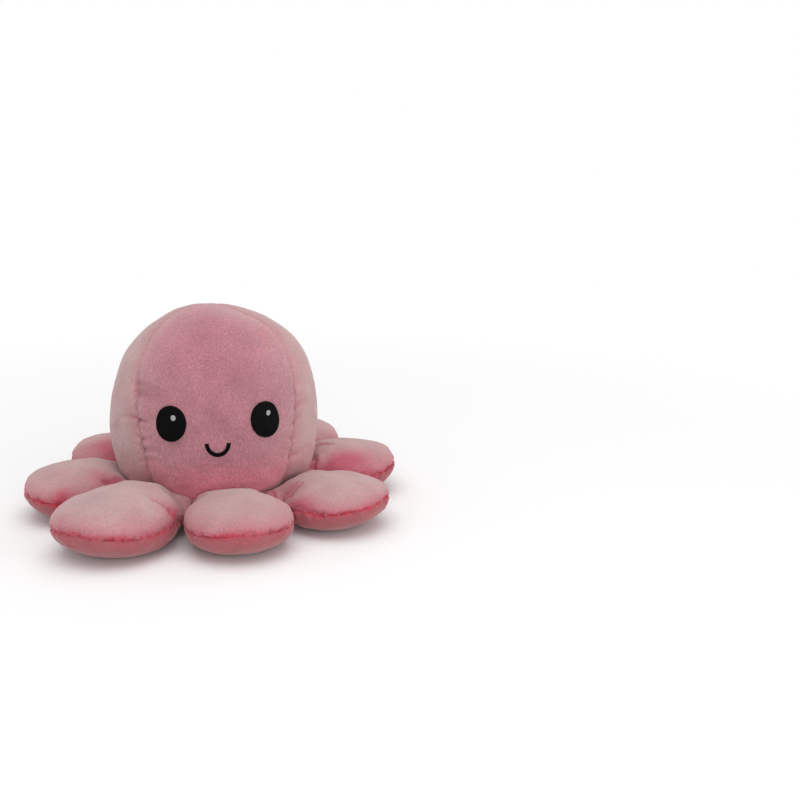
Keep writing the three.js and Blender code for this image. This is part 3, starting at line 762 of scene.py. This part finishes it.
def tentacle_boundary(theta, length, tip_lift, top):
    """Edge of a tentacle's cloth for an angle about its middle:
    [out, across, height, height without the valley beside the root]."""
    half = SECTOR / 2
    middle = length / 2
    widest = (ROOT_DISTANCE + middle) * math.tan(half) - TENTACLE_SPACING / 2
    web_out = WEB_DISTANCE * math.cos(half) - ROOT_DISTANCE
    web_across = WEB_DISTANCE * math.sin(half) - HALF_GAP
    side, turn = np.sign(theta), np.abs(theta)
    quarter = pi / 2
    out = middle + middle * signed_power(np.cos(turn), 2 / TIP_POWER)
    across = widest * np.abs(np.sin(turn)) ** (2 / TIP_POWER)
    lifted = SEAM_LEVEL + tip_lift * np.cos(turn) ** 2
    tip = np.stack([out, across, lifted, lifted], -1)
    t = np.clip((turn - quarter) / (CORNER_TURN - quarter), 0, 1)
    out = middle + (web_out - middle) * t
    across = web_across + (widest - web_across) * np.cos(t * quarter)
    flank = np.stack([out, across, SEAM_LEVEL + (WEB_LEVEL - SEAM_LEVEL) * t**2, SEAM_LEVEL + 0 * t], -1)
    t = np.clip((turn - CORNER_TURN) / (pi - CORNER_TURN), 0, 1)
    web = np.array([web_out, web_across, WEB_LEVEL, SEAM_LEVEL])
    if top:
        bend = TOP_BEND
        inner = np.clip((t - bend) / (1 - bend), 0, 1)
        angle = half * (1 - inner)
        raised = np.sin(inner * pi / 2)
        radius = CORNER_RADIUS + (CREASE_RADIUS - CORNER_RADIUS) * raised
        level = CORNER_LEVEL + (CREASE_LEVEL - CORNER_LEVEL) * raised
        root = np.stack([radius * np.cos(angle) - ROOT_DISTANCE, radius * np.sin(angle), level, level], -1)
        root[:, 1] = np.maximum(root[:, 1] - HALF_GAP, 0)
    else:
        bend = BOTTOM_BEND
        share = 1 - np.clip((t - bend) / (1 - bend), 0, 1)
        fold = ROOT_DISTANCE * math.tan(half) - FOLD_END
        level = np.full_like(turn, FOLD_LEVEL - FOLD_GAP)
        root = np.stack([np.full_like(turn, FOLD_INSET), fold * share, level, level], -1)
    up = smooth_step(t / bend)[:, None]
    root = web + (root - web) * up
    root[:, 3] = web[3] + ((CREASE_LEVEL if top else FOLD_LEVEL) - web[3]) * smooth_step(t)
    result = np.where((turn < quarter)[:, None], tip, np.where((turn < CORNER_TURN)[:, None], flank, root))
    result[:, 1] *= np.where(side == 0, 1, side)
    return result


def tentacle_surface(share, theta, length, rise, tip_lift, shoulders, top):
    """Points of the padded form, for a share of the way from the middle to the edge."""
    edge = tentacle_boundary(theta, length, tip_lift, top)
    tilt = share * pi / 2
    out = np.sin(tilt)
    middle = np.array([length / 2, 0])
    plan = middle + (edge[:, :2] - middle) * out[:, None]
    root = smooth_step((np.abs(theta) - pi * 0.6) / (pi * 0.3))
    level = SEAM_LEVEL + (edge[:, 3] - SEAM_LEVEL) * out ** (2.2 if top else 1.6)
    level += (edge[:, 2] - edge[:, 3]) * out**VALLEY_POWER
    depth = rise if top else TABLE_DEPTH
    shoulder = np.where(theta < 0, *shoulders) * bell((np.abs(theta) - SHOULDER_TURN) / SHOULDER_WIDTH)
    bulge = depth * np.cos(tilt) ** (1 + (0.35 * root - shoulder if top else 0.9 * root))
    return np.column_stack([plan, level + (bulge if top else -bulge)])


def on_table(z):
    """Height that stops on the table with a small round at its edge."""
    return np.where(z > TABLE_ROUND, z, TABLE_ROUND * np.exp(np.minimum(z - TABLE_ROUND, 0) / TABLE_ROUND))


def tentacle_mesh(length, rise, tip_lift, shoulders):
    """Coarse closed form: (points, faces, 0 for upper and 1 for lower faces, place on a disc as u and v)."""
    n = TENTACLE_CELLS
    x, y = np.meshgrid(np.linspace(-1, 1, n + 1), np.linspace(-1, 1, n + 1), indexing="ij")
    u, v = (x * np.sqrt(1 - y**2 / 2)).ravel(), (y * np.sqrt(1 - x**2 / 2)).ravel()
    share, theta = np.minimum(np.hypot(u, v), 1), np.arctan2(v, u)
    size = len(u)
    top, bottom = (
        tentacle_surface(share, theta, length, rise, tip_lift, shoulders, upper) for upper in (True, False)
    )
    ij = np.arange(size).reshape(n + 1, n + 1)
    edge = np.zeros((n + 1, n + 1), bool)
    edge[-1, :] = edge[:, 0] = edge[:, -1] = True
    shared = edge.ravel()
    lower = np.full(size, -1)
    lower[shared] = np.flatnonzero(shared)
    lower[~shared] = size + np.arange((~shared).sum())
    points = np.concatenate([top, bottom[~shared]])
    a, b, c, d = ij[:-1, :-1].ravel(), ij[1:, :-1].ravel(), ij[1:, 1:].ravel(), ij[:-1, 1:].ravel()
    faces = np.concatenate([np.stack([a, b, c, d], -1), lower[np.stack([d, c, b, a], -1)]])
    group = np.repeat([0, 1], len(a))
    values = {"u": np.concatenate([u, u[~shared]]), "v": np.concatenate([v, v[~shared]])}
    return points, faces, group, values


def web_flattened(points, index):
    """(points near the valleys between neighbours, drawn in to a flat web that narrows on its way down and out,
    how near each is to the web's foot, its distance from the valley)."""
    half = SECTOR / 2
    reach, across, level = ROOT_DISTANCE + points[:, 0], points[:, 1], points[:, 2]
    from_valley = np.maximum(reach * math.sin(half) - np.abs(across) * math.cos(half), 0)
    along = reach * math.cos(half) + np.abs(across) * math.sin(half)
    past_web = along - WEB_DISTANCE - 1
    drop, run = CORNER_LEVEL - WEB_LEVEL, WEB_DISTANCE - CORNER_RADIUS
    steep = math.hypot(drop, run)
    proud = ((along - CORNER_RADIUS) * drop + (level - CORNER_LEVEL) * run) / steep
    top = np.where(across < 0, *WEB_FACETS[index])
    foot = np.where(across < 0, *WEB_FEET[index])
    wide = foot + (top - foot) * np.clip((level - WEB_LEVEL) / drop, 0, 1.3)
    weight = 1 - smooth_step((from_valley - wide) / WEB_SOFTNESS[index])
    weight *= 1 - smooth_step(past_web / WEB_REACH)
    weight *= smooth_step((level - WEB_LEVEL + 2) / 3)
    back = np.maximum(proud, 0) * weight * WEB_PULL
    near_foot = bell(from_valley / 5.0, past_web / 4.5) * bell((level - WEB_LEVEL - 2) / 4.0)
    moved = points.copy()
    moved[:, 0] -= back * drop / steep
    moved[:, 2] -= back * run / steep
    return moved, near_foot, from_valley


def line_distance(places, line):
    """(distance from a line through points, share of the way along it), for places in a plan."""
    line = np.array(line)
    best, share = np.full(len(places), 1e9), np.zeros(len(places))
    for i in range(len(line) - 1):
        step = line[i + 1] - line[i]
        t = np.clip((places - line[i]) @ step / (step @ step), 0, 1)
        distance = np.linalg.norm(places - line[i] - t[:, None] * step, axis=1)
        nearer = distance < best
        best[nearer], share[nearer] = distance[nearer], (i + t[nearer]) / (len(line) - 1)
    return best, share


def creased(points, index):
    """(depth, painted shade in the fold colour, painted shade in the seam colour) that a tentacle's creases and
    hollows add to its upper cloth.
    """
    depth, fold, seam = (np.zeros(len(points)) for _ in range(3))
    places = points[:, :2]
    for line, deep, wide in CREASES.get(index, []):
        distance, share = line_distance(places, line)
        shown = smooth_step(share / 0.3) * smooth_step((1 - share) / 0.15) * 0.85 + 0.15
        shown = shown * (distance < 12)
        depth += deep * shown * (0.7 * bell(distance / wide) + 0.3 * bell(distance / 3.5))
        depth -= 0.25 * deep * shown * bell((distance - 2.2 * wide) / wide)
        # Painted shade in the fold colour along the crease.
        fold += 0.5 * shown * bell(distance / wide) + 0.1 * shown * bell(distance / 4)
    for place, reach, deep, painted_fold_shade, painted_seam_shade in HOLLOWS.get(index, []):
        near = np.exp(-(((places - place) / reach) ** 2).sum(1))
        depth += deep * near
        fold += painted_fold_shade * near
        seam += painted_seam_shade * near
    return depth, fold, seam


def in_place(points, index):
    """From a tentacle's own frame to the toy's."""
    angle = TENTACLE_TURN + SECTOR * index
    out, across = outward(angle), outward(angle + pi / 2)
    up = np.array([0, 0, 1.0])
    return (ROOT_DISTANCE + points[:, :1]) * out + points[:, 1:2] * across + points[:, 2:3] * up


def along_edge(theta, length, tip_lift):
    """Distance along the edge seam for an angle about the middle."""
    table = np.linspace(-pi, pi, 1441)
    travelled = distances_along(tentacle_boundary(table, length, tip_lift, True))
    return np.interp(theta, table, travelled), travelled[-1]


def stuffed_tentacle(length, rise, tip_lift, shoulders):
    """A tentacle's cloth over its stuffing:
    (points, faces, group, angle about the middle, share of the way to the edge)."""
    points, faces, group, values = tentacle_mesh(length, rise, tip_lift, shoulders)
    turn = np.abs(np.arctan2(values["v"], values["u"]))
    rim = np.hypot(values["u"], values["v"]) > RIM_SHARE
    root = rim & (turn > ROOT_TURN)
    seam = rim & ~root
    middle = np.array([length / 2, 0, SEAM_LEVEL])
    start = np.where(root[:, None], points, middle + (points - middle) * TENTACLE_SLACK)
    stuffed = inflated(points, start, faces, root.astype(float), seam.astype(float), 4.0, 3.0, shrink=0.05)
    grown = np.linalg.norm((points - middle)[seam][:, :2]) / np.linalg.norm((stuffed - middle)[seam][:, :2])
    free = 1 - smooth_step((turn - pi / 2) / FREE_FADE)
    points = middle + (stuffed - middle) * (1 + (grown - 1) * free[:, None] * np.array([1, 1, 0]))
    points, faces, group, values = subdivided(points, faces, group, values)
    share = np.clip(np.hypot(values["u"], values["v"]), 0, 1)
    return points, faces, group, np.arctan2(values["v"], values["u"]), share


def add_tentacle(index):
    length, rise, tip_lift = TENTACLE_LENGTHS[index], TENTACLE_RISES[index], TIP_LIFTS[index]
    points, faces, group, theta, share = stuffed_tentacle(length, rise, tip_lift, SHOULDERS[index])
    travelled, total = along_edge(theta, length, tip_lift)
    lower = np.zeros(len(points), bool)
    lower[np.unique(faces[group == 1])] = True
    away = (1 - share) * pi / 2 * ((length / 2 + rise) / 2)
    signed = np.where(lower, -away, away)
    at_seam = smooth_step((SEAM_TURN - np.abs(theta)) / SEAM_FADE)
    own = points + np.array([200.0 * index, 0, 0])

    # Relief: the seam's groove, tucks and crumples, lumps of stuffing, creases and the web
    inward = at_seam * (0.3 * bell(away / 0.9) + 0.3 * bell(away / 4))
    inward += at_seam * tucks(travelled, signed, total, 2.4, 0.8, 5.0, 100 + index, 0.6)
    crumpled = 0.85 * grain(own, 2.4, 36) * bell(away / 4.0)
    crumpled += 0.6 * grain(own, 1.2, 37) * bell(away / 2.2)
    inward -= at_seam * crumpled
    lumps = layered(own, (0.55, 17, 21), (0.25, 7, 22)) * smooth_step(away / 6)
    sunk, crease_painted_shade, crease_painted_seam_shade = creased(points, index)
    inward += np.where(lower, 0, sunk)
    points = points + normals_of(points, faces) * (lumps - inward)[:, None]
    points, web_foot, from_valley = web_flattened(points, index)
    outside = np.maximum(points[:, 0], 0)
    over_seam = points[:, 2] - SEAM_LEVEL
    points = piled(in_place(points, index), faces, 31)
    points[:, 2] = on_table(points[:, 2])

    # Colour of the seam, uneven in width, place and strength: the seam's line, partly the seam itself and
    # partly painted shade of its groove
    edge = 1.9 + layered(points, (0.8, 3.0, 32), (0.8, 1.0, 33))
    wander = layered(points, (0.9, 6, 38), (0.5, 2.2, 39)) + 0.1
    seam = at_seam * np.clip(0.75 + layered(points, (0.6, 7, 34), (0.4, 1.1, 42)), 0.15, 1)
    seam *= bell((signed - wander) / np.maximum(edge, 0.35))
    if index == 0:
        seam *= 1 - 0.65 * smooth_step((np.abs(theta) - 0.9) / 0.5)
    streaks = 0.75 + 0.35 * grain(own * np.array([1, 1, 0.25]), 1.1, 41)
    # Painted shade in the seam colour at the web's foot and along creases and hollows.
    seam = np.clip(seam + 0.85 * web_foot + 0.9 * crease_painted_seam_shade * streaks, 0, 1)

    # Painted shade in the fold colour, where shade falls: towards the seam, the root, the webs and in creases,
    # and on the tentacles at the back; some random tone besides
    root = np.exp(-outside / 9) + 0.8 * np.exp(-from_valley / 3.5)
    sunken = 1 - smooth_step((over_seam - 1) / 11)
    fold = 1.1 * np.exp(-away / (9.5 if index in (0, 7) else 8)) * at_seam + 0.32 * root * sunken + crease_painted_shade
    # Painted shade on the tentacles at the back.
    fold += (0.1 if 2 <= index <= 6 else 0.0) * np.exp(-outside / 45)
    fold += 0.3 * at_seam * grain(own, 1.3, 40) * bell(away / 3.5)
    fold = np.clip(fold + 0.12 * np.exp(-outside / 20) + 0.08 * grain(points, 9, 35), 0, 1)
    fold = np.where(lower, 0.3 * fold, fold)
    flecks = at_seam * np.clip(1.6 * grain(own, 0.8, 43) - 0.3, 0, 1) * bell(away / 2.2)
    values = {"seam": seam * (1 - 0.6 * flecks), "fold": fold * (1 - 0.5 * flecks), "painted_light_and_flecks": 0.7 * flecks}

    number = index + 1
    angle = TENTACLE_TURN + SECTOR * index
    start = outward(angle) * (ROOT_DISTANCE + BLEND_START) * MM
    end = outward(angle) * (ROOT_DISTANCE + BLEND_END) * MM
    start[2] = end[2] = FOLD_LEVEL * MM
    for side, part, cloth, nodes in (
        (0, "upper", PALE_CLOTH, ["top"]),
        (1, "lower", DEEP_CLOTH, ["bottom", "filling"]),
    ):
        p, f, v = part_of(points, faces, values, group == side)
        replaced = [f"tentacle_{number}_{node}" for node in nodes]
        obj = finished(f"tentacle_{number}_{part}_plush", p, f, v, cloth, replaced)
        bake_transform(obj)


# Pocket and waist

POCKET_COLUMNS, POCKET_ROWS = [49, 35, 49, 35], 84
WAIST_COLUMNS = 384
# Rings of cloth from the inside out: [distance, height, how far it follows the folds' octagon]
LOWER_RING = [
    [MOUTH_RADIUS - 0.2, 2.6, 0],
    [MOUTH_RADIUS + 0.4, 0.5, 0],
    [MOUTH_RADIUS + 2.5, 0, 0],
    [37.5, 0, 0],
    [FOLD_DISTANCE + 0.2, FOLD_LEVEL - 0.9, 1],
    [FOLD_DISTANCE + 0.2, FOLD_LEVEL, 1],
]
UPPER_RING = [
    [FOLD_DISTANCE, FOLD_LEVEL + 0.1, 1],
    [FOLD_DISTANCE, FOLD_LEVEL + 1, 1],
    [46.5, 13, 0.6],
    [48.3, 18, 0],
]


def pocket_profile(share):
    """Radius and height of the pocket's wall, from its mouth (share 0) to its top (share 1)."""
    turn = pi / 2 * (1 - share)
    power = 2 / POCKET_POWER
    flare = (MOUTH_RADIUS - POCKET_RADIUS) * (1 - share) ** 6
    radius = POCKET_RADIUS * np.sin(turn) ** power + flare
    height = MOUTH_RIM + (POCKET_HEIGHT - MOUTH_RIM) * np.abs(np.cos(turn)) ** power
    return radius, height


def add_pocket():
    """Lining of the pocket: four panels of the second head, gathered into loose folds."""
    angles, panel = panel_angles(POCKET_COLUMNS)
    columns = len(angles)
    radius, height = pocket_profile(np.linspace(1, 0, POCKET_ROWS))
    radius = np.maximum(radius, 0.4)
    plan = np.array([outward(a) for a in angles])
    points = radius[:, None, None] * plan[None] + np.stack([0 * height, 0 * height, height], -1)[:, None]
    points = points.reshape(-1, 3)
    faces = quad_grid(POCKET_ROWS, columns, wrap=True)[:, ::-1]
    group = np.array(panel * (POCKET_ROWS - 1))
    angle = np.tile(angles, POCKET_ROWS)
    level = points[:, 2]
    reach = np.hypot(points[:, 0], points[:, 1])
    way = smooth_step(level / 8) * smooth_step(reach / 10)
    turn = np.stack([np.cos(angle) * 9, np.sin(angle) * 9, level * 0.16], -1)
    folds = 0.5 + layered(turn, (0.5, 3.1, 51), (0.25, 1.4, 52))
    calm = np.exp(-((wrapped(angle) / 0.75) ** 4))
    nearest = np.abs([wrapped(angle - seam) * np.maximum(reach, 1) for seam in SEAM_ANGLES]).min(0)
    inward = way * (1.1 * folds * (1 - 0.9 * calm)) - way * 0.5 * bell(nearest / 0.9)
    points = points + normals_of(points, faces) * inward[:, None]
    points = piled(points, faces, 53)
    # Painted shade: deeper colour all over the lining, varying with its folds, and a dark line at its seams,
    # partly the seams themselves and partly painted shade of their grooves.
    values = {
        "seam": 0.7 * bell(nearest / 0.7) * smooth_step(reach / 6),
        "fold": np.clip(0.25 + 0.4 * (1 - folds), 0, 1),
    }
    for i, name in enumerate(PANELS):
        p, f, v = part_of(points, faces, values, group == i)
        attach(finished(f"pocket_{name}_plush", p, f, v, DEEP_CLOTH, [f"pocket_{name}_panel"]), "head")
    return surface_of(points, faces)


def ring_surface(profile, rows):
    """(points, faces, angle, distance along the profile, its length) of a cloth ring round the waist."""
    profile = np.array(profile, float)
    travelled = distances_along(profile[:, :2])
    at = np.linspace(0, travelled[-1], rows)
    line = np.stack([np.interp(at, travelled, profile[:, k]) for k in range(3)], -1)
    for _ in range(3):
        line[1:-1] = (line[:-2] + 2 * line[1:-1] + line[2:]) / 4
    angle = TENTACLE_TURN + 2 * pi * (np.arange(WAIST_COLUMNS) + 0.5) / WAIST_COLUMNS
    from_side = angle - TENTACLE_TURN
    from_side = from_side - SECTOR * np.round(from_side / SECTOR)
    stretch = 1 / np.cos(from_side)
    plan = np.array([outward(a) for a in angle])
    reach = line[:, 0][:, None] * (1 + (stretch[None, :] - 1) * line[:, 2][:, None])
    points = reach[..., None] * plan[None]
    points[..., 2] = line[:, 1][:, None]
    faces = quad_grid(rows, WAIST_COLUMNS, wrap=True)
    return points.reshape(-1, 3), faces, np.tile(angle, rows), np.repeat(at, WAIST_COLUMNS), travelled[-1]


def add_waist():
    points, faces, angle, at, total = ring_surface(LOWER_RING, 30)
    length = angle * 38
    inner = tucks(length, at, length.max(), 5.2, 0.8, 7, 62)
    outer = tucks(length, total - at, length.max(), 4.4, 0.9, 6, 63)
    points = points - normals_of(points, faces) * (inner + outer)[:, None]
    points = piled(points, faces, 64)
    points[:, 2] = on_table(points[:, 2])
    # Painted shade: deeper colour and a dark line along the lower ring's two edges, where it meets the pocket's
    # mouth and the tentacles.
    values = {
        "seam": 0.8 * bell(at / 0.8) + 0.8 * bell((total - at) / 0.8),
        "fold": 0.5 * np.exp(-at / 4) + 0.6 * np.exp(-(total - at) / 4),
    }
    lower = finished("waist_lower_plush", points, faces, values, DEEP_CLOTH, ["waist_bottom_cloth"])
    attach(lower, "head")
    points, faces, _, at, _ = ring_surface(UPPER_RING, 16)
    points = piled(points, faces, 66)
    # Painted shade: the upper ring lies in the crevice between head and tentacles and takes the fold colour all
    # over.
    values = {"seam": 0 * at, "fold": 0 * at + 0.8}
    upper = finished("waist_upper_plush", points, faces, values, PALE_CLOTH, ["waist_top_cloth"])
    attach(upper, "head")


# Embroidery

# Width of the rounded border of a patch of stitches, depth of the grooves between threads, depth of its hem
BORDER, THREAD_GROOVE, HEM = 0.35, 0.09, -0.35
RAY_START = 90
EYES = (("left", -1), ("right", 1))


def on_surface(tree, origin, direction):
    """Where a ray meets a surface, and the surface's normal towards the ray's start, in millimetres."""
    hit, normal, _, _ = tree.ray_cast((origin * MM).tolist(), direction.tolist())
    if hit is None:
        raise RuntimeError("a stitch missed the cloth")
    normal = np.array(normal)
    if normal @ direction > 0:
        normal = -normal
    return np.array(hit) / MM, normal


def face_place(tree):
    """Function from a distance to the side and a height to a point and normal on the head's front."""

    def place(side, level):
        reach = math.sqrt(max(HEAD_RADIUS**2 - side**2 - (level - WIDEST_LEVEL) ** 2, 0))
        direction = np.array([side, -reach, level - WIDEST_LEVEL])
        direction /= np.linalg.norm(direction)
        return on_surface(tree, HEAD_MIDDLE + direction * RAY_START, -direction)

    return place


def pocket_place(tree):
    """The same for the pocket's front wall, seen from inside."""

    def place(side, level):
        share = 0.0
        while pocket_profile(np.array(share))[1] < level:
            share += 1 / 256
        radius = float(pocket_profile(np.array(share))[0])
        return on_surface(tree, np.array([0, 0, level]), outward(side / radius))

    return place


def add_stitches(node, slot, place, across, level, lift, thickness, rows, columns, threads):
    """Raised satin stitches. across and level give [rows, columns] offsets; threads run along each row."""
    shape = across.shape
    hits = [place(float(a), float(b)) for a, b in zip(across.ravel(), level.ravel())]
    points = np.array([h[0] for h in hits])
    normals = np.array([h[1] for h in hits])
    r = np.linspace(0, 1, shape[0])[:, None]
    c = np.linspace(0, 1, shape[1])[None, :]
    border = np.minimum(np.minimum(r, 1 - r) * rows, np.minimum(c, 1 - c) * columns) / BORDER
    crown = np.sqrt(np.clip(1 - (1 - np.clip(border, 0, 1)) ** 2, 0, 1))
    ridge = np.abs(np.sin(pi * r * threads))
    height = lift + thickness * crown + THREAD_GROOVE * crown * (ridge - 1)
    height = np.where(border <= 0, HEM, height)
    points = points + normals * height.reshape(-1, 1)
    obj = finished(f"{node}_stitches", points, quad_grid(*shape), {}, slot, [node])
    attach(obj, "head")


def add_oval(node, slot, place, middle, size, cells, seed, raised, threads, lean=0, lid=None):
    """Oval of stitches from top to bottom, each row a run of thread from one side to the other. raised is its
    lift and thickness, lean how far it leans, lid the height and slope of a line that cuts off its top."""
    random = np.random.default_rng(seed)
    (width, height), (rows, columns) = size, cells
    up = -np.sin(np.linspace(-1, 1, rows) * pi / 2) * height / 2
    half = np.sqrt(np.maximum(1 - (up / (height / 2)) ** 2, 0.0009)) * width / 2
    ragged = 1 + random.uniform(-0.012, 0.012, rows)
    across = half[:, None] * ragged[:, None] * np.linspace(-1, 1, columns)[None, :]
    level = np.repeat(up[:, None], columns, 1)
    if lid is not None:
        level = np.minimum(level, lid[0] + lid[1] * across)
    across = across - lean * level
    add_stitches(node, slot, place, middle[0] + across, middle[1] + level, *raised, height, width, threads)


def add_mouth(node, place, middle, width, rise, cells, length, threads):
    """Line of stitches in half an oval, a smile where its rise is negative."""
    t = np.linspace(0, pi, cells)[:, None]
    offset = np.linspace(MOUTH_THREAD / 2, -MOUTH_THREAD / 2, 9)[None, :]
    across = middle[0] + (width / 2 + offset) * -np.cos(t)
    level = middle[1] + np.sign(rise) * (abs(rise) + offset) * np.sin(t)
    add_stitches(node, BLACK_THREAD, place, across, level, 0.1, 0.6, length, MOUTH_THREAD, threads)


def add_face(tree):
    place = face_place(tree)
    for name, side in EYES:
        middle = side * EYE_SPREAD + FACE_SIDE
        add_oval(
            f"{name}_eye", BLACK_THREAD, place, (middle, EYE_LEVEL), (EYE_WIDTH, EYE_HEIGHT), (150, 34),
            70 + side, (0.15, 0.75), 38, lean=EYE_LEAN * side,
        )
        add_oval(
            f"{name}_eye_glint", WHITE_THREAD, place, (middle + GLINT_SIDES[name], EYE_LEVEL + GLINT_RISE),
            (GLINT_SIZE, GLINT_SIZE), (40, 16), 75 + side, (0.8, 0.45), 7,
        )
    add_mouth("smile", place, (SMILE_SIDE, SMILE_LEVEL), SMILE_WIDTH, -SMILE_DROP, 190, 20, 42)


def add_inner_face(tree):
    place = pocket_place(tree)
    for name, side in EYES:
        middle = side * INNER_EYE_SPREAD
        add_oval(
            f"inner_{name}_eye", BLACK_THREAD, place, (middle, INNER_EYE_LEVEL),
            (INNER_EYE_WIDTH, INNER_EYE_HEIGHT), (110, 26), 80 + side, (0.15, 0.7), 26,
            lid=(LID_HEIGHT, LID_SLOPE * side),
        )
        add_oval(
            f"inner_{name}_eye_glint", WHITE_THREAD, place, (middle + side * INNER_GLINT_SIDE, INNER_EYE_LEVEL),
            (INNER_GLINT_SIZE, INNER_GLINT_SIZE), (30, 12), 85 + side, (0.75, 0.4), 5,
        )
    add_mouth("frown", place, (0, FROWN_LEVEL), FROWN_WIDTH, FROWN_RISE, 150, 14, 30)


# Floor, world and lights

# The floor's half width, and the distances between which it turns from shaded to plain white, in metres
FLOOR_SIZE, SHADED, WHITE = 3.0, 0.15, 0.45
FLOOR_GREY = 0.9
WORLD_LIGHT = 0.66
# Lamps: place in metres, watts, width in metres
LAMPS = {
    "top": ((0.0, -0.2, 1.1), 6.2, 1.2),
    "front": ((0.0, -1.2, 0.35), 3.1, 0.6),
    "right": ((0.85, -0.6, 0.12), 2.0, 0.5),
    "back": ((0.2, 0.9, 0.7), 0.5, 0.7),
}
LAMP_AIM = np.array([0, 0, 0.04])


def add_stage():
    mesh = bpy.data.meshes.new("floor")
    corners = [(x * FLOOR_SIZE, y * FLOOR_SIZE, 0) for x, y in ((-1, -1), (1, -1), (1, 1), (-1, 1))]
    mesh.from_pydata(corners, [], [(0, 1, 2, 3)])
    floor = linked("floor", mesh)
    material = bpy.data.materials.new("floor_white")
    nodes = Nodes(material)
    nodes.end(SHADER, {"Base Color": (FLOOR_GREY,) * 3 + (1,), "Roughness": 0.9, "Specular IOR Level": 0.0})
    place = nodes.add("TexCoord", {}, "Object")
    distance = nodes.add("VectorMath", {0: place}, "Value", operation="LENGTH")
    share = nodes.math("MULTIPLY", nodes.seen_rays(), nodes.remapped(distance, SHADED, WHITE))
    shaded, glow = nodes.tree.nodes[SHADER].outputs[0], nodes.add("Emission", {})
    surface = nodes.add("MixShader", {"Fac": share, 1: shaded, 2: glow})
    nodes.end("Material Output", {"Surface": surface})
    mesh.materials.append(material)
    world = bpy.data.worlds.new("world")
    scene.world = world
    nodes = Nodes(world)
    strength = nodes.remapped(nodes.seen_rays(), 0.0, 1.0, WORLD_LIGHT, 1.0)
    nodes.end("Background", {"Strength": strength, "Color": (1, 1, 1, 1)})
    for name, (place, energy, wide) in LAMPS.items():
        data = bpy.data.lights.new(name, "AREA")
        data.energy, data.size = energy, wide
        lamp = linked(name, data)
        lamp.location = place
        lamp.rotation_euler = Vector(LAMP_AIM - np.array(place)).to_track_quat("-Z", "Y").to_euler()
    scene.view_settings.view_transform = "Standard"


head_tree = add_head()
for number in range(len(TENTACLE_LENGTHS)):
    add_tentacle(number)
pocket_tree = add_pocket()
add_waist()
add_face(head_tree)
add_inner_face(pocket_tree)
add_stage()
